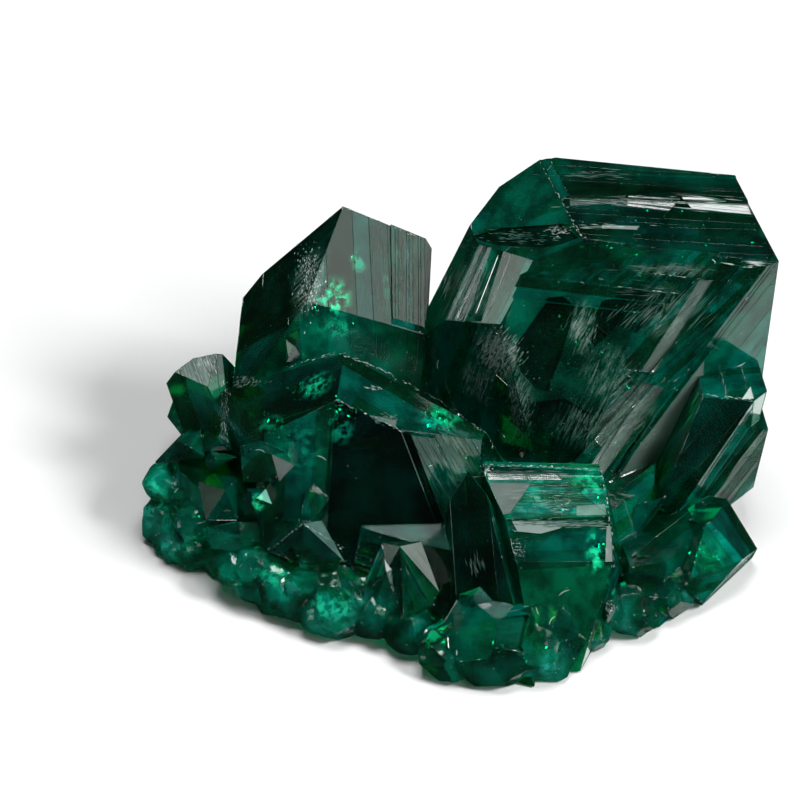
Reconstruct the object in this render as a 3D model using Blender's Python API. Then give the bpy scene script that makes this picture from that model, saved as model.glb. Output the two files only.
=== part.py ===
"""A dioptase specimen: one cluster of intergrown emerald-green crystals, broken off flat underneath.

Every crystal is a convex solid bounded by flat faces, and each face is the plane through three named corners.
The corners that the front view shows are given in that view's own directions: across to the right, up the
view, and near, towards the eye, which looks down at VIEW_TILT. All lengths in this file are millimetres until
MM turns them to metres. One exact union grows the crystals together, and one cut leaves the flat base.
"""
import math
import random

import bmesh
import bpy
from mathutils import Matrix, Vector

MM = 0.001
VIEW_TILT = math.radians(40.0)        # how far the front view looks down
VIEW_HEIGHT = 8.4                     # height of the front view's centre over the base
BLOCK = 90.0                          # side of the block that each crystal is cut from
ROOT_DEPTH = -1.5                     # the root runs down to here, and the flat cut takes it off at 0
UNDERSIDE = Vector((0.0, 0.0, 0.08))  # the crystals round the root end above this point of the base
UNDERSIDE_RISE = 0.0003               # slope of a crystal's underside, for each millimetre out from there
STEP_INSET = 0.15                     # how far a step of growth stands in from the sides, over its rise
POINTED_DEPTH = 3.8                   # how far a small pointed crystal runs back into the mass
CRUST_DEPTH = 0.6                     # how far in from the outline the small crystals of the crust start
AXIS_RATIO = 0.5339                   # dioptase's c over a, which sets the slope of its end faces
END_FACE_SLOPE = math.atan(4.0 * AXIS_RATIO / math.sqrt(3.0))
GREEN = (0.0, 0.19, 0.11, 1.0)
SEED = 11

# The base's outline, seen from above. The left root carries the crust of small crystals on the left.
LEFT_ROOT = ((-16.0, -4.6), (-14.5, -6.7), (-11.5, -8.6), (-9.0, -10.6), (-6.5, -10.6), (-6.0, 5.5),
             (-12.5, 4.5), (-16.0, 0.0))
MAIN_ROOT = ((-9.5, -6.5), (-5.0, -12.6), (-1.0, -14.4), (4.5, -16.2), (10.5, -15.4), (17.0, -10.8),
             (21.5, -6.0), (20.5, 5.5), (9.0, 10.0), (-6.0, 8.5), (-9.5, 4.0))
ROOT_HEIGHT = 6.0
ROOT_TAPER = 0.72

# Rounded, broken lumps along the rim: across, up, height of the middle over the base, radius.
RIM_LUMPS = (
    (-15.6, -5.5, 3.6, 1.5),
    (-15.2, -7.3, 1.9, 1.7),
    (-15.0, -9.0, 0.9, 1.6),
    (-13.8, -9.5, 1.1, 1.8),
    (-11.7, -10.2, 0.9, 1.7),
    (-14.2, -6.6, 3.7, 1.4),
    (-13.4, -8.1, 3.0, 1.6),
    (-10.9, -11.1, 2.2, 1.5),
    (-9.6, -11.0, 2.9, 1.5),
    (-8.2, -12.1, 2.3, 1.6),
    (-6.1, -12.3, 2.7, 1.5),
    (-9.2, -11.9, 1.3, 1.9),
    (-6.8, -12.9, 1.4, 2.1),
    (-4.2, -13.6, 1.6, 2.5),
    (-1.7, -14.0, 1.4, 2.2),
    (0.6, -15.1, 1.2, 1.9),
    (3.5, -16.6, 1.4, 2.3),
    (6.2, -16.0, 1.6, 3.4),
    (9.2, -16.2, 1.4, 2.9),
    (11.0, -15.9, 1.2, 1.8),
    (12.6, -15.2, 1.1, 1.5),
    (15.4, -14.0, 1.5, 1.9),
    (17.7, -12.7, 1.5, 1.9),
)

# Small pointed crystals: the apex, then the corners round it, all as across, up, near.
POINTED = {
    "left_black": ((-11.6, -6.0, 5.0), (-12.3, -4.9, 3.8), (-10.8, -5.2, 4.2), (-10.8, -8.0, 4.6),
                   (-12.9, -8.0, 4.4), (-13.4, -5.4, 3.3)),
    "left_flat": ((-12.2, -4.0, 4.6), (-13.0, -4.0, 3.6), (-12.6, -3.4, 3.6), (-10.9, -3.8, 4.1),
                  (-12.7, -4.7, 3.9)),
    "left_slab": ((-10.6, -9.0, 5.5), (-12.8, -8.5, 4.3), (-10.7, -8.1, 4.8), (-8.5, -8.1, 5.2),
                  (-8.8, -9.7, 5.0), (-10.7, -10.1, 4.6), (-12.5, -9.9, 4.1)),
    "left_step_high": ((-12.1, -2.6, 3.3), (-13.0, -1.9, 1.8), (-11.7, -1.3, 2.4), (-11.2, -3.3, 3.2),
                       (-13.3, -3.5, 2.4)),
    "left_step_low": ((-14.0, -3.1, 2.6), (-14.8, -2.7, 1.2), (-13.3, -2.0, 1.9), (-13.0, -3.8, 2.6),
                      (-15.5, -4.1, 0.9)),
    "glint_block": ((-9.5, -6.5, 7.7), (-10.2, -5.9, 6.5), (-8.9, -5.9, 7.2), (-8.5, -6.9, 7.4),
                    (-9.6, -7.6, 7.0), (-10.4, -7.0, 6.5)),
    "grey_chip": ((-7.0, 3.6, 3.45), (-7.67, 4.13, 3.5), (-6.67, 4.8, 3.2), (-6.47, 2.67, 3.2),
                  (-7.53, 2.53, 3.5)),
    "roof_block": ((-8.5, -3.6, 9.0), (-10.6, -3.1, 7.2), (-9.2, -2.7, 7.6), (-7.5, -3.5, 8.4),
                   (-7.0, -4.3, 8.1), (-8.0, -5.4, 7.8), (-10.4, -5.4, 6.6)),
    "sliver": ((-6.2, -5.9, 8.6), (-6.7, -8.0, 7.5), (-6.5, -6.3, 7.7), (-5.7, -5.6, 7.8),
               (-4.7, -6.5, 7.4), (-5.8, -8.1, 7.6)),
    "left_pyramid": ((-6.4, -8.2, 8.6), (-8.8, -10.0, 6.2), (-6.7, -10.8, 6.8), (-3.7, -10.7, 6.9),
                     (-5.2, -8.0, 7.6), (-7.8, -7.9, 6.6)),
    "low_wedge": ((-5.9, -10.4, 7.6), (-6.7, -10.7, 6.6), (-6.6, -11.9, 6.2), (-4.6, -12.2, 6.4),
                  (-3.9, -10.6, 7.2)),
    "middle_pyramid": ((0.0, -9.7, 9.2), (-1.1, -9.5, 8.0), (-0.9, -11.3, 8.0), (0.2, -14.5, 8.4),
                       (2.1, -13.7, 8.8), (2.6, -12.7, 8.9), (1.4, -9.4, 8.5)),
    "middle_side": ((-0.9, -11.4, 8.5), (-2.4, -12.2, 7.0), (-1.2, -9.6, 7.3), (0.1, -10.9, 8.1),
                    (0.0, -14.2, 7.9), (-1.8, -14.0, 7.3)),
    "teal_tip": ((-2.3, -12.1, 8.3), (-3.8, -13.0, 6.9), (-3.0, -12.0, 6.9), (-1.7, -12.6, 7.3),
                 (-2.4, -14.6, 7.6)),
    "foot_block": ((4.9, -12.9, 10.2), (3.9, -12.9, 8.8), (5.3, -12.4, 9.0), (6.1, -13.3, 9.5),
                   (5.1, -14.9, 9.3), (4.0, -14.4, 8.9)),
    "dark_splinter": ((16.5, -3.4, 4.4), (14.3, -6.3, 3.6), (14.5, -7.9, 4.2), (15.6, -8.2, 4.7),
                      (16.9, -5.6, 4.9), (17.0, -4.2, 4.3)),
    "grey_splinter": ((17.4, -5.2, 5.2), (15.9, -6.9, 4.3), (14.8, -9.2, 4.6), (16.2, -8.6, 4.9),
                      (17.8, -6.4, 4.9)),
    "right_glint": ((14.1, -13.6, 8.4), (13.3, -13.4, 7.4), (14.3, -12.6, 7.1), (14.9, -14.2, 6.9),
                    (13.6, -14.9, 7.3)),
}

# Whole crystals of the true habit: middle as x, y, height, the long axis, turn about it, width, length.
HABIT = {
    "back_left": ((-6.0, 6.0, 4.6), (-0.35, 0.70, 0.60), 20.0, 6.8, 10.0),
    "back_right": ((13.5, 7.0, 4.6), (0.30, 0.50, 0.80), 50.0, 7.4, 11.5),
    "back_middle": ((4.0, 7.2, 5.2), (0.05, 0.40, 0.92), 10.0, 6.2, 11.0),
    "back_low_right": ((19.0, 4.5, 3.0), (0.75, 0.45, 0.45), 35.0, 5.5, 9.0),
    "back_low_left": ((-12.0, 3.6, 4.0), (-0.60, 0.60, 0.50), 5.0, 5.0, 8.0),
}


def seen(across, up, near):
    """A point given in the front view's directions, as a point of the specimen."""
    y = up * math.sin(VIEW_TILT) - near * math.cos(VIEW_TILT)
    z = up * math.cos(VIEW_TILT) + near * math.sin(VIEW_TILT) + VIEW_HEIGHT
    return Vector((across, y, z))


def toward(across, up, near):
    """A direction given in the front view's directions."""
    return (seen(across, up, near) - seen(0.0, 0.0, 0.0)).normalized()


def seen_at_height(across, up, height):
    """The point that the front view shows at across and up, and that lies at a height over the base."""
    near = (height - VIEW_HEIGHT - up * math.cos(VIEW_TILT)) / math.sin(VIEW_TILT)
    return seen(across, up, near)


def add_solid(name, mesh, collection):
    """Turns a bmesh in millimetres into an object in metres."""
    bmesh.ops.recalc_face_normals(mesh, faces=mesh.faces[:])
    bmesh.ops.scale(mesh, vec=(MM, MM, MM), verts=mesh.verts[:])
    data = bpy.data.meshes.new(name)
    mesh.to_mesh(data)
    mesh.free()
    solid = bpy.data.objects.new(name, data)
    collection.objects.link(solid)
    return solid


def cut_block(name, planes, collection):
    """A convex solid: a block cut by planes, each a point on the face and the direction out of it.

    Its underside stays just clear of the floor, and rises outwards, so that the cluster stands on its root.
    """
    planes = list(planes)
    middle = sum((point for point, outward in planes), Vector()) / len(planes)
    underside = Vector((UNDERSIDE_RISE * middle.x, UNDERSIDE_RISE * middle.y, -1.0)).normalized()
    mesh = bmesh.new()
    bmesh.ops.create_cube(mesh, size=BLOCK)
    for point, outward in (*planes, (UNDERSIDE, underside)):
        everything = mesh.verts[:] + mesh.edges[:] + mesh.faces[:]
        cut = bmesh.ops.bisect_plane(
            mesh, geom=everything, dist=1e-5, plane_co=point, plane_no=outward, clear_outer=True)
        rim = [item for item in cut["geom_cut"] if isinstance(item, bmesh.types.BMEdge)]
        if rim:
            bmesh.ops.contextual_create(mesh, geom=rim)
    return add_solid(name, mesh, collection)


def face_planes(corners, faces):
    """Named planes of a crystal: each face is three corner names, or one name and the way it faces."""
    middle = sum(corners.values(), Vector()) / len(corners)
    planes = {}
    for name, face in faces.items():
        if isinstance(face, str):
            a, b, c = (corners[corner] for corner in face.split())
            outward = (b - a).cross(c - a).normalized()
            if outward.dot(middle - a) > 0.0:
                outward = -outward
        else:
            a, outward = corners[face[0]], face[1].normalized()
        planes[name] = (a, outward)
    return planes


def terrace(planes, face, rise, walls):
    """A low step of growth: the crystal with one face raised and the others drawn in, and stopped by walls."""
    moves = {name: -STEP_INSET * rise for name in planes}
    moves[face] = rise
    raised = [(point + moves[name] * outward, outward) for name, (point, outward) in planes.items()]
    return [*raised, *walls]


def big_crystal():
    """The large right-hand crystal, a slanting block with a level top and a broad front."""
    corners = {
        "top_back_left": seen(9.3, 16.0, 2.6),
        "top_back_right": seen(22.3, 14.7, 4.0),
        "top_front_right": seen(25.1, 9.2, 9.5),
        "top_front_left": seen(12.0, 10.8, 7.8),
        "shoulder_high": seen(6.6, 14.2, 2.25),
        "shoulder_low": seen(4.0, 10.8, 3.05),
        "front_foot": seen(10.7, -10.7, 0.3),
        "ridge_middle": seen(8.1, 9.1, 6.35),
        "ridge_low": seen(6.0, 5.1, 4.65),
        "cheek_top": seen(5.5, 10.6, 4.25),
        "cheek_low": seen(3.0, 5.2, 2.15),
        "cheek_back": seen(2.1, 9.3, 0.0),
        "under_cheek": seen(5.3, 0.0, 1.5),
        "right_edge": seen(19.7, 2.0, 6.1),
        "right_low": seen(24.3, 2.8, 2.5),
        "back_foot": Vector((15.0, 9.0, 2.0)),
        "left_back": Vector((3.0, 6.5, 10.0)),
        "left_foot": Vector((3.0, 2.0, 1.0)),
    }
    faces = {
        "top": "top_back_left top_back_right top_front_right",
        "shoulder": "top_back_left top_front_left shoulder_low",
        "front": "top_front_right top_front_left front_foot",
        "cheek": "ridge_middle ridge_low cheek_top",
        "cheek_side": "cheek_top cheek_low cheek_back",
        "under_cheek": "cheek_low ridge_low under_cheek",
        "right": "top_front_right right_edge right_low",
        "right_back": "top_back_right top_front_right right_low",
        "back": "top_back_left top_back_right back_foot",
        "back_left": "top_back_left shoulder_high left_back",
        "left_high": "shoulder_high shoulder_low left_back",
        "left": "cheek_back left_back left_foot",
    }
    planes = face_planes(corners, faces)
    yield "big_crystal", planes.values()
    # Steps of growth: bands along the back of the top, and a raised frame down the front's right side.
    band = toward(-0.05, -0.55, 0.83)
    yield "top_band", terrace(planes, "top", 0.25, [(seen(10.7, 13.4, 5.2), band)])
    yield "top_band_back", terrace(planes, "top", 0.40, [(seen(10.7, 14.9, 3.8), band)])
    side = toward(-0.78, 0.45, 0.43)
    for number, (across, rise) in enumerate(((21.3, 0.45), (19.4, 0.22))):
        yield f"front_frame_{number}", terrace(planes, "front", rise, [(seen(across, 8.0, 8.0), side)])
    upper = toward(0.03, 0.85, 0.52)
    lower = toward(0.78, -0.45, 0.43)
    for number in range(3):
        corner_up = seen(14.0, 7.6 - 0.85 * number, 7.0)
        corner_right = seen(18.9 - 1.5 * number, 6.0, 7.3)
        yield f"chevron_{number}", terrace(
            planes, "front", 0.10 + 0.10 * number, [(corner_up, upper), (corner_right, lower)])
    sill = toward(0.03, -0.85, 0.52)
    yield "front_lintel", terrace(planes, "front", 0.26, [(seen(14.0, 8.9, 7.0), sill)])
    slope = toward(0.60, -0.45, 0.15)
    yield "right_rib", terrace(planes, "right", 0.35, [(seen(19.0, 1.9, 6.0), slope)])
    for number, (left, right) in enumerate(((7.0, 11.0), (13.0, 14.5), (16.0, 20.0))):
        rib_walls = [(Vector((left, 8.0, 8.0)), Vector((-0.9, 0.3, 0.0))),
                     (Vector((right, 8.0, 8.0)), Vector((0.9, 0.3, 0.0)))]
        yield f"back_rib_{number}", terrace(planes, "back", 0.20 + 0.06 * number, rib_walls)
    groove = toward(0.86, -0.42, 0.29)
    for number, across in enumerate((6.7, 5.6)):
        yield f"cheek_rib_{number}", terrace(
            planes, "cheek", 0.16 + 0.12 * number, [(seen(across, 7.5, 5.2), groove)])


def left_crystal():
    """The upper left crystal, whose broad grey face looks up to the right."""
    corners = {
        "crown": seen(-3.8, 12.9, 1.5),
        "crown_right": seen(1.7, 10.7, 0.05),
        "right_high": seen(2.1, 10.0, -0.07),
        "right_low": seen(1.8, 4.3, 0.31),
        "left_low": seen(-5.3, 6.3, 2.28),
        "foot": seen(2.1, 0.5, -0.9),
        "left_ridge": seen(-6.6, 5.5, 2.7),
        "left_shoulder": seen(-9.2, 8.7, -0.9),
        "left_far": seen(-10.5, 6.8, -1.6),
        "left_knee": seen(-10.8, 4.5, -0.6),
        "left_foot": seen(-11.3, 1.0, 0.5),
        "back_left": Vector((-9.0, 7.0, 9.0)),
        "back_right": Vector((0.5, 8.0, 9.0)),
        "back_foot": Vector((-4.0, 9.5, 1.0)),
    }
    faces = {
        "grey": "crown right_high right_low",
        "below_grey": "left_low right_low foot",
        "left": "crown left_ridge left_far",
        "left_low": "left_ridge left_knee left_foot",
        "right": "right_high right_low back_right",
        "crown_right": "crown_right right_high back_right",
        "back": "crown crown_right back_foot",
        "back_left": "crown left_shoulder back_left",
        "far_left": "left_shoulder left_far back_left",
        "knee_left": "left_far left_knee back_left",
    }
    planes = face_planes(corners, faces)
    yield "left_crystal", planes.values()
    yield "grey_step", terrace(planes, "grey", 0.15, [(seen(-0.6, 9.0, 0.8), toward(-0.9, 0.0, 0.4))])


def middle_crystal():
    """The crystal in front of the left one, with a chipped ridge, a green bevel and a black front."""
    corners = {
        "ridge_left": seen(-11.7, 0.7, 2.5),
        "ridge_peak": seen(-3.7, 3.1, 6.0),
        "ridge_right": seen(5.7, -2.1, 5.0),
        "bevel_left": seen(-4.2, 0.0, 8.5),
        "bevel_middle": seen(0.0, -2.0, 7.8),
        "black_foot": seen(-0.7, -8.7, 6.0),
        "grey_top": seen(5.1, -3.9, 5.5),
        "grey_foot": seen(2.1, -7.3, 6.25),
        "left_front": seen(-9.0, -3.0, 7.0),
        "left_front_foot": seen(-8.0, -9.0, 5.6),
        "back_left": Vector((-8.0, 3.0, 3.0)),
        "back_right": Vector((2.0, 1.0, 3.0)),
        "left_foot": Vector((-13.0, -4.0, 0.0)),
    }
    faces = {
        "roof": "ridge_left ridge_peak bevel_left",
        "bevel": "ridge_peak ridge_right bevel_left",
        "black": "bevel_left bevel_middle black_foot",
        "grey": "bevel_middle grey_top grey_foot",
        "left_front": "bevel_left left_front left_front_foot",
        "left": "ridge_left left_front left_foot",
        "back_left": "ridge_left ridge_peak back_left",
        "back_right": "ridge_peak ridge_right back_right",
        "right": ("ridge_right", toward(0.93, -0.10, 0.35)),
    }
    planes = face_planes(corners, faces)
    yield "middle_crystal", planes.values()
    yield "grey_rib", terrace(planes, "grey", 0.18, [(seen(2.9, -3.5, 6.5), toward(0.85, 0.30, 0.43))])


def front_crystal():
    """The blocky crystal low in the middle, with a bright green top."""
    corners = {
        "top_back_left": seen(5.5, -4.2, 6.6),
        "top_back_right": seen(13.3, -4.5, 6.4),
        "top_right": seen(13.8, -6.3, 7.7),
        "top_front_right": seen(13.9, -7.9, 9.0),
        "top_front_left": seen(7.4, -7.9, 9.5),
        "front_low_left": seen(7.1, -11.3, 9.9),
        "front_low_right": seen(14.0, -11.2, 9.3),
        "left_high": seen(5.7, -5.3, 7.3),
        "left_low": seen(6.6, -7.5, 8.6),
        "skirt_left": seen(5.7, -14.6, 9.6),
        "skirt_right": seen(12.9, -15.0, 8.6),
        "left_back": Vector((5.0, -8.0, 1.0)),
        "right_back": Vector((14.5, -6.0, 1.0)),
        "right_foot": Vector((15.0, -12.0, 1.0)),
    }
    faces = {
        "top": "top_back_left top_back_right top_front_left",
        "front": "top_front_left top_front_right front_low_left",
        "skirt": "front_low_left front_low_right skirt_left",
        "left": "left_high left_low left_back",
        "left_back": "top_back_left left_high left_back",
        "right": "top_right top_front_right right_foot",
        "right_low": ("skirt_right", toward(0.93, -0.30, 0.20)),
        "right_back": "top_back_right top_right right_back",
        "back": ("top_back_left", toward(0.0, 0.9, -0.5)),
    }
    planes = face_planes(corners, faces)
    yield "front_crystal", planes.values()
    lip = toward(0.0, -0.35, 0.94)
    yield "front_top_back", terrace(planes, "top", 0.30, [(seen(9.0, -4.9, 6.9), lip)])


def dark_prism():
    """The narrow black prism that stands between the middle and the front crystals."""
    corners = {
        "apex": seen(4.5, -4.7, 8.6),
        "left_high": seen(3.3, -6.7, 8.4),
        "left_low": seen(3.7, -12.7, 8.5),
        "right_high": seen(5.7, -6.2, 9.0),
        "right_low": seen(7.0, -11.3, 9.2),
        "back": Vector((5.0, -7.0, 3.0)),
        "back_left": Vector((2.0, -9.0, 3.0)),
        "back_right": Vector((8.0, -9.5, 3.0)),
    }
    faces = {
        "front": "left_high right_high left_low",
        "cap_left": "apex left_high back_left",
        "cap_right": "apex right_high back_right",
        "left": "left_high left_low back_left",
        "right": "right_high right_low back_right",
        "back": ("back", Vector((0.0, 1.0, 0.0))),
    }
    yield "dark_prism", face_planes(corners, faces).values()


def right_prism():
    """The smaller crystal grown parallel to the big one, low on its right."""
    corners = {
        "cap_back_left": seen(19.8, 1.9, 5.1),
        "cap_back_right": seen(23.8, 2.6, 2.8),
        "cap_front_right": seen(23.5, -0.1, 5.8),
        "cap_front_left": seen(20.1, 0.2, 6.8),
        "front_foot": seen(18.1, -5.5, 4.6),
        "front_foot_right": seen(20.0, -5.3, 3.6),
        "right_side": seen(23.3, -1.9, 1.9),
        "right_foot": seen(19.8, -8.0, 0.4),
        "back": Vector((21.0, 0.0, 10.0)),
    }
    faces = {
        "cap": "cap_back_left cap_back_right cap_front_left",
        "front": "cap_front_left cap_front_right front_foot_right",
        "left": "cap_back_left cap_front_left front_foot",
        "right": "cap_front_right right_side front_foot_right",
        "right_back": ("cap_back_right", toward(0.97, 0.10, -0.20)),
        "back": ("back", toward(-0.25, 0.30, -0.92)),
        "foot": ("right_foot", toward(-0.58, -0.74, -0.34)),
    }
    yield "right_prism", face_planes(corners, faces).values()


def outer_prism():
    """The outermost of the parallel crystals, with a teal end and a long green side."""
    corners = {
        "end_back_left": seen(23.2, -0.3, 0.6),
        "end_back_right": seen(24.3, 0.0, 0.0),
        "end_front_right": seen(24.4, -2.0, 1.9),
        "end_front_left": seen(23.3, -1.9, 2.2),
        "front_foot": seen(19.9, -8.1, -0.4),
        "outer_low": seen(24.2, -3.3, 0.3),
        "outer_foot": seen(20.8, -8.0, -1.8),
        "back": Vector((21.0, 1.0, 6.0)),
    }
    faces = {
        "end": "end_back_left end_back_right end_front_right",
        "front": "end_front_left end_front_right front_foot",
        "outer": "end_front_right outer_low outer_foot",
        "outer_back": ("outer_low", toward(0.96, 0.05, -0.25)),
        "underside": ("outer_foot", toward(0.45, -0.75, -0.50)),
        "back": ("back", toward(-0.30, 0.30, -0.90)),
        "foot": ("outer_foot", toward(-0.58, -0.74, -0.34)),
        "left": ("end_back_left", toward(-0.78, 0.46, 0.30)),
    }
    yield "outer_prism", face_planes(corners, faces).values()


def left_small():
    """The small crystal at the far left, with a bright striated face."""
    corners = {
        "tip_left": seen(-16.0, 2.3, -0.8),
        "top_left": seen(-14.0, 3.2, 1.6),
        "top_right": seen(-12.4, 3.9, 1.0),
        "low": seen(-12.8, 0.9, 1.3),
        "foot": seen(-14.7, -2.7, 1.2),
        "right": seen(-11.7, 2.8, 0.5),
        "back": Vector((-13.0, 4.5, 6.0)),
    }
    faces = {
        "bright": "top_left top_right low",
        "left": "tip_left top_left low",
        "lower_left": "tip_left low foot",
        "top_left": "tip_left top_left back",
        "top": "top_left top_right back",
        "right": ("right", toward(0.95, 0.10, 0.25)),
        "far_left": ("tip_left", toward(-0.93, -0.25, -0.25)),
        "back": ("back", Vector((-0.2, 1.0, -0.1))),
    }
    yield "left_small", face_planes(corners, faces).values()


def right_tip():
    """The low crystal that points out to the right."""
    corners = {
        "top": seen(21.5, -7.0, 3.0),
        "tip": seen(23.8, -9.9, 1.4),
        "foot": seen(20.1, -13.5, 4.4),
        "inner_top": seen(21.2, -8.7, 4.9),
        "inner_right": seen(22.7, -10.7, 3.7),
        "inner_low": seen(19.3, -11.8, 6.0),
        "inner_left": seen(19.8, -9.0, 5.2),
        "back": Vector((19.0, -4.0, 2.0)),
    }
    faces = {
        "teal": "inner_top inner_right inner_low",
        "dark": "top tip inner_top",
        "front": "inner_right tip foot",
        "low": "inner_low inner_right foot",
        "left": ("inner_left", toward(-0.80, 0.30, 0.50)),
        "crown": ("top", toward(-0.30, 0.90, 0.30)),
        "low_end": ("foot", toward(-0.55, -0.80, 0.20)),
        "back_right": ("tip", toward(0.75, 0.55, -0.40)),
        "back": ("back", Vector((-0.1, 1.0, 0.1))),
    }
    yield "right_tip", face_planes(corners, faces).values()


def ledge_crystal():
    """The dull blue-green crystal below the big one's foot, right of the front crystal."""
    corners = {
        "top_left": seen(14.7, -9.3, 4.0),
        "top_back": seen(18.7, -7.8, 3.2),
        "top_right": seen(20.0, -8.8, 4.2),
        "front_right": seen(17.7, -10.7, 6.6),
        "front_left": seen(15.3, -11.1, 6.5),
        "front_foot": seen(16.6, -15.3, 5.2),
        "right_foot": seen(19.4, -13.2, 3.0),
        "left_foot": seen(14.5, -14.8, 4.8),
        "back": Vector((17.0, -5.0, 2.0)),
    }
    faces = {
        "top": "top_left top_back front_right",
        "front": "front_left front_right front_foot",
        "right": "top_right front_right right_foot",
        "left": "top_left front_left left_foot",
        "back": ("back", Vector((0.2, 1.0, 0.2))),
        "far_right": ("top_right", Vector((1.0, 0.4, 0.0))),
    }
    yield "ledge_crystal", face_planes(corners, faces).values()


def pointed_crystal(apex, *ring):
    """A small pointed crystal: a face from the apex to each side of the ring, and a wall behind that side."""
    tip = seen(*apex)
    around = [seen(*corner) for corner in ring]
    middle = (tip + sum(around, Vector())) / (len(around) + 1)
    depth = toward(0.0, 0.0, -1.0)
    planes = [(middle + POINTED_DEPTH * depth, depth)]
    for here, after in zip(around, around[1:] + around[:1]):
        for start, outward in ((tip, (here - tip).cross(after - tip)), (here, (after - here).cross(depth))):
            outward.normalize()
            if outward.dot(middle + depth - start) > 0.0:
                outward = -outward
            planes.append((start, outward))
    return planes


def habit_crystal(middle, axis, turn, width, length):
    """Dioptase's own habit: a six-sided prism with three sloping faces at each end, turned 60 degrees."""
    along = Vector(axis).normalized()
    upright = Vector((0.0, 0.0, 1.0)).rotation_difference(along).to_matrix()
    centre = Vector(middle)
    planes = []
    for side in range(6):
        angle = math.radians(turn + 30.0 + 60.0 * side)
        outward = upright @ Vector((math.cos(angle), math.sin(angle), 0.0))
        planes.append((centre + 0.5 * width * outward, outward))
    for end in range(6):
        rising = 1.0 if end % 2 == 0 else -1.0
        angle = math.radians(turn + 60.0 * end)
        flat = math.sin(END_FACE_SLOPE)
        outward = upright @ Vector((flat * math.cos(angle), flat * math.sin(angle), rising * math.cos(END_FACE_SLOPE)))
        planes.append((centre + 0.5 * rising * length * along, outward))
    return planes


def lump(middle, radius, faces, dice):
    """A broken lump: a ball cut by as many planes, evenly spread over it, each a little in or out."""
    golden = math.pi * (3.0 - math.sqrt(5.0))
    start = dice.uniform(0.0, 6.28)
    squash = Vector((dice.uniform(0.9, 1.15), dice.uniform(0.9, 1.15), dice.uniform(0.8, 1.0)))
    planes = []
    for number in range(faces):
        height = 1.0 - 2.0 * (number + 0.5) / faces
        ring = math.sqrt(1.0 - height * height)
        angle = start + golden * number
        outward = Vector((ring * math.cos(angle), ring * math.sin(angle), height))
        outward = (outward + Vector([dice.uniform(-0.2, 0.2) for _ in range(3)])).normalized()
        reach = radius * (outward * squash).length * dice.uniform(0.86, 1.0)
        planes.append((middle + reach * outward, outward))
    return planes


def root_block(name, outline, collection):
    """The mass below the crystals: its outline drawn in towards the top."""
    middle = sum((Vector(corner) for corner in outline), Vector((0.0, 0.0))) / len(outline)
    mesh = bmesh.new()
    for corner in outline:
        drawn_in = middle + ROOT_TAPER * (Vector(corner) - middle)
        mesh.verts.new((*corner, ROOT_DEPTH))
        mesh.verts.new((*drawn_in, ROOT_HEIGHT))
    bmesh.ops.convex_hull(mesh, input=mesh.verts[:])
    bmesh.ops.dissolve_limit(mesh, angle_limit=math.radians(1.0), verts=mesh.verts[:], edges=mesh.edges[:])
    return add_solid(name, mesh, collection)


def rim_crust(collection, dice):
    """Small crystals of the true habit, crowded round the rim between the lumps and up the back."""
    number = 0
    for outline, count in ((LEFT_ROOT, 9), (MAIN_ROOT, 22)):
        middle = sum((Vector(corner) for corner in outline), Vector((0.0, 0.0))) / len(outline)
        for step in range(count):
            place = step / count * len(outline)
            here = Vector(outline[int(place)])
            after = Vector(outline[(int(place) + 1) % len(outline)])
            spot = here.lerp(after, place % 1.0)
            out = (spot - middle).normalized()
            if abs(out.x) < 0.5 and out.y < -0.5:
                continue
            size = dice.uniform(1.8, 3.2)
            height = dice.uniform(0.5, 3.0)
            centre = (*(spot - (CRUST_DEPTH + 0.14 * height) * out), height)
            axis = (out.x + dice.uniform(-0.5, 0.5), out.y + dice.uniform(-0.5, 0.5), dice.uniform(0.2, 1.0))
            turn = dice.uniform(0.0, 60.0)
            cut_block(f"crust_{number}", habit_crystal(centre, axis, turn, size, 1.5 * size), collection)
            number += 1


def green_material():
    """Glassy emerald green, plain here."""
    material = bpy.data.materials.new("dioptase")
    material.use_nodes = True
    shader = material.node_tree.nodes["Principled BSDF"]
    shader.inputs["Base Color"].default_value = GREEN
    shader.inputs["Roughness"].default_value = 0.08
    shader.inputs["Metallic"].default_value = 0.0
    return material


def add_boolean(target, operation, collection):
    modifier = target.modifiers.new(operation.lower(), "BOOLEAN")
    modifier.operation = operation
    modifier.solver = "EXACT"
    modifier.operand_type = "COLLECTION"
    modifier.collection = collection


def hide(collection):
    for item in collection.objects:
        item.hide_render = True
        item.display_type = "WIRE"


def joined_faces(start):
    """The faces that can be reached from one face by crossing edges."""
    reached, waiting = {start}, [start]
    while waiting:
        for edge in waiting.pop().edges:
            fresh = [face for face in edge.link_faces if face not in reached]
            reached.update(fresh)
            waiting.extend(fresh)
    return reached


def finish_cluster(cluster):
    """Applies the union and the cut, fills the pockets that crystals close between them, and centres the base.

    The outer skin is the one that holds the highest corner. A pocket is any other skin, so it is deleted.
    """
    bpy.context.view_layer.update()
    finished = cluster.evaluated_get(bpy.context.evaluated_depsgraph_get())
    mesh = bmesh.new()
    mesh.from_mesh(finished.data)
    peak = max(mesh.verts, key=lambda corner: corner.co.z)
    outer_skin = joined_faces(peak.link_faces[0])
    pockets = [face for face in mesh.faces if face not in outer_skin]
    bmesh.ops.delete(mesh, geom=pockets, context="FACES")
    across = [corner.co.x for corner in mesh.verts]
    deep = [corner.co.y for corner in mesh.verts]
    shift = Vector((-0.5 * (min(across) + max(across)), -0.5 * (min(deep) + max(deep)), 0.0))
    bmesh.ops.translate(mesh, vec=shift, verts=mesh.verts[:])
    cluster.modifiers.clear()
    mesh.to_mesh(cluster.data)
    mesh.free()
    return shift


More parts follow.
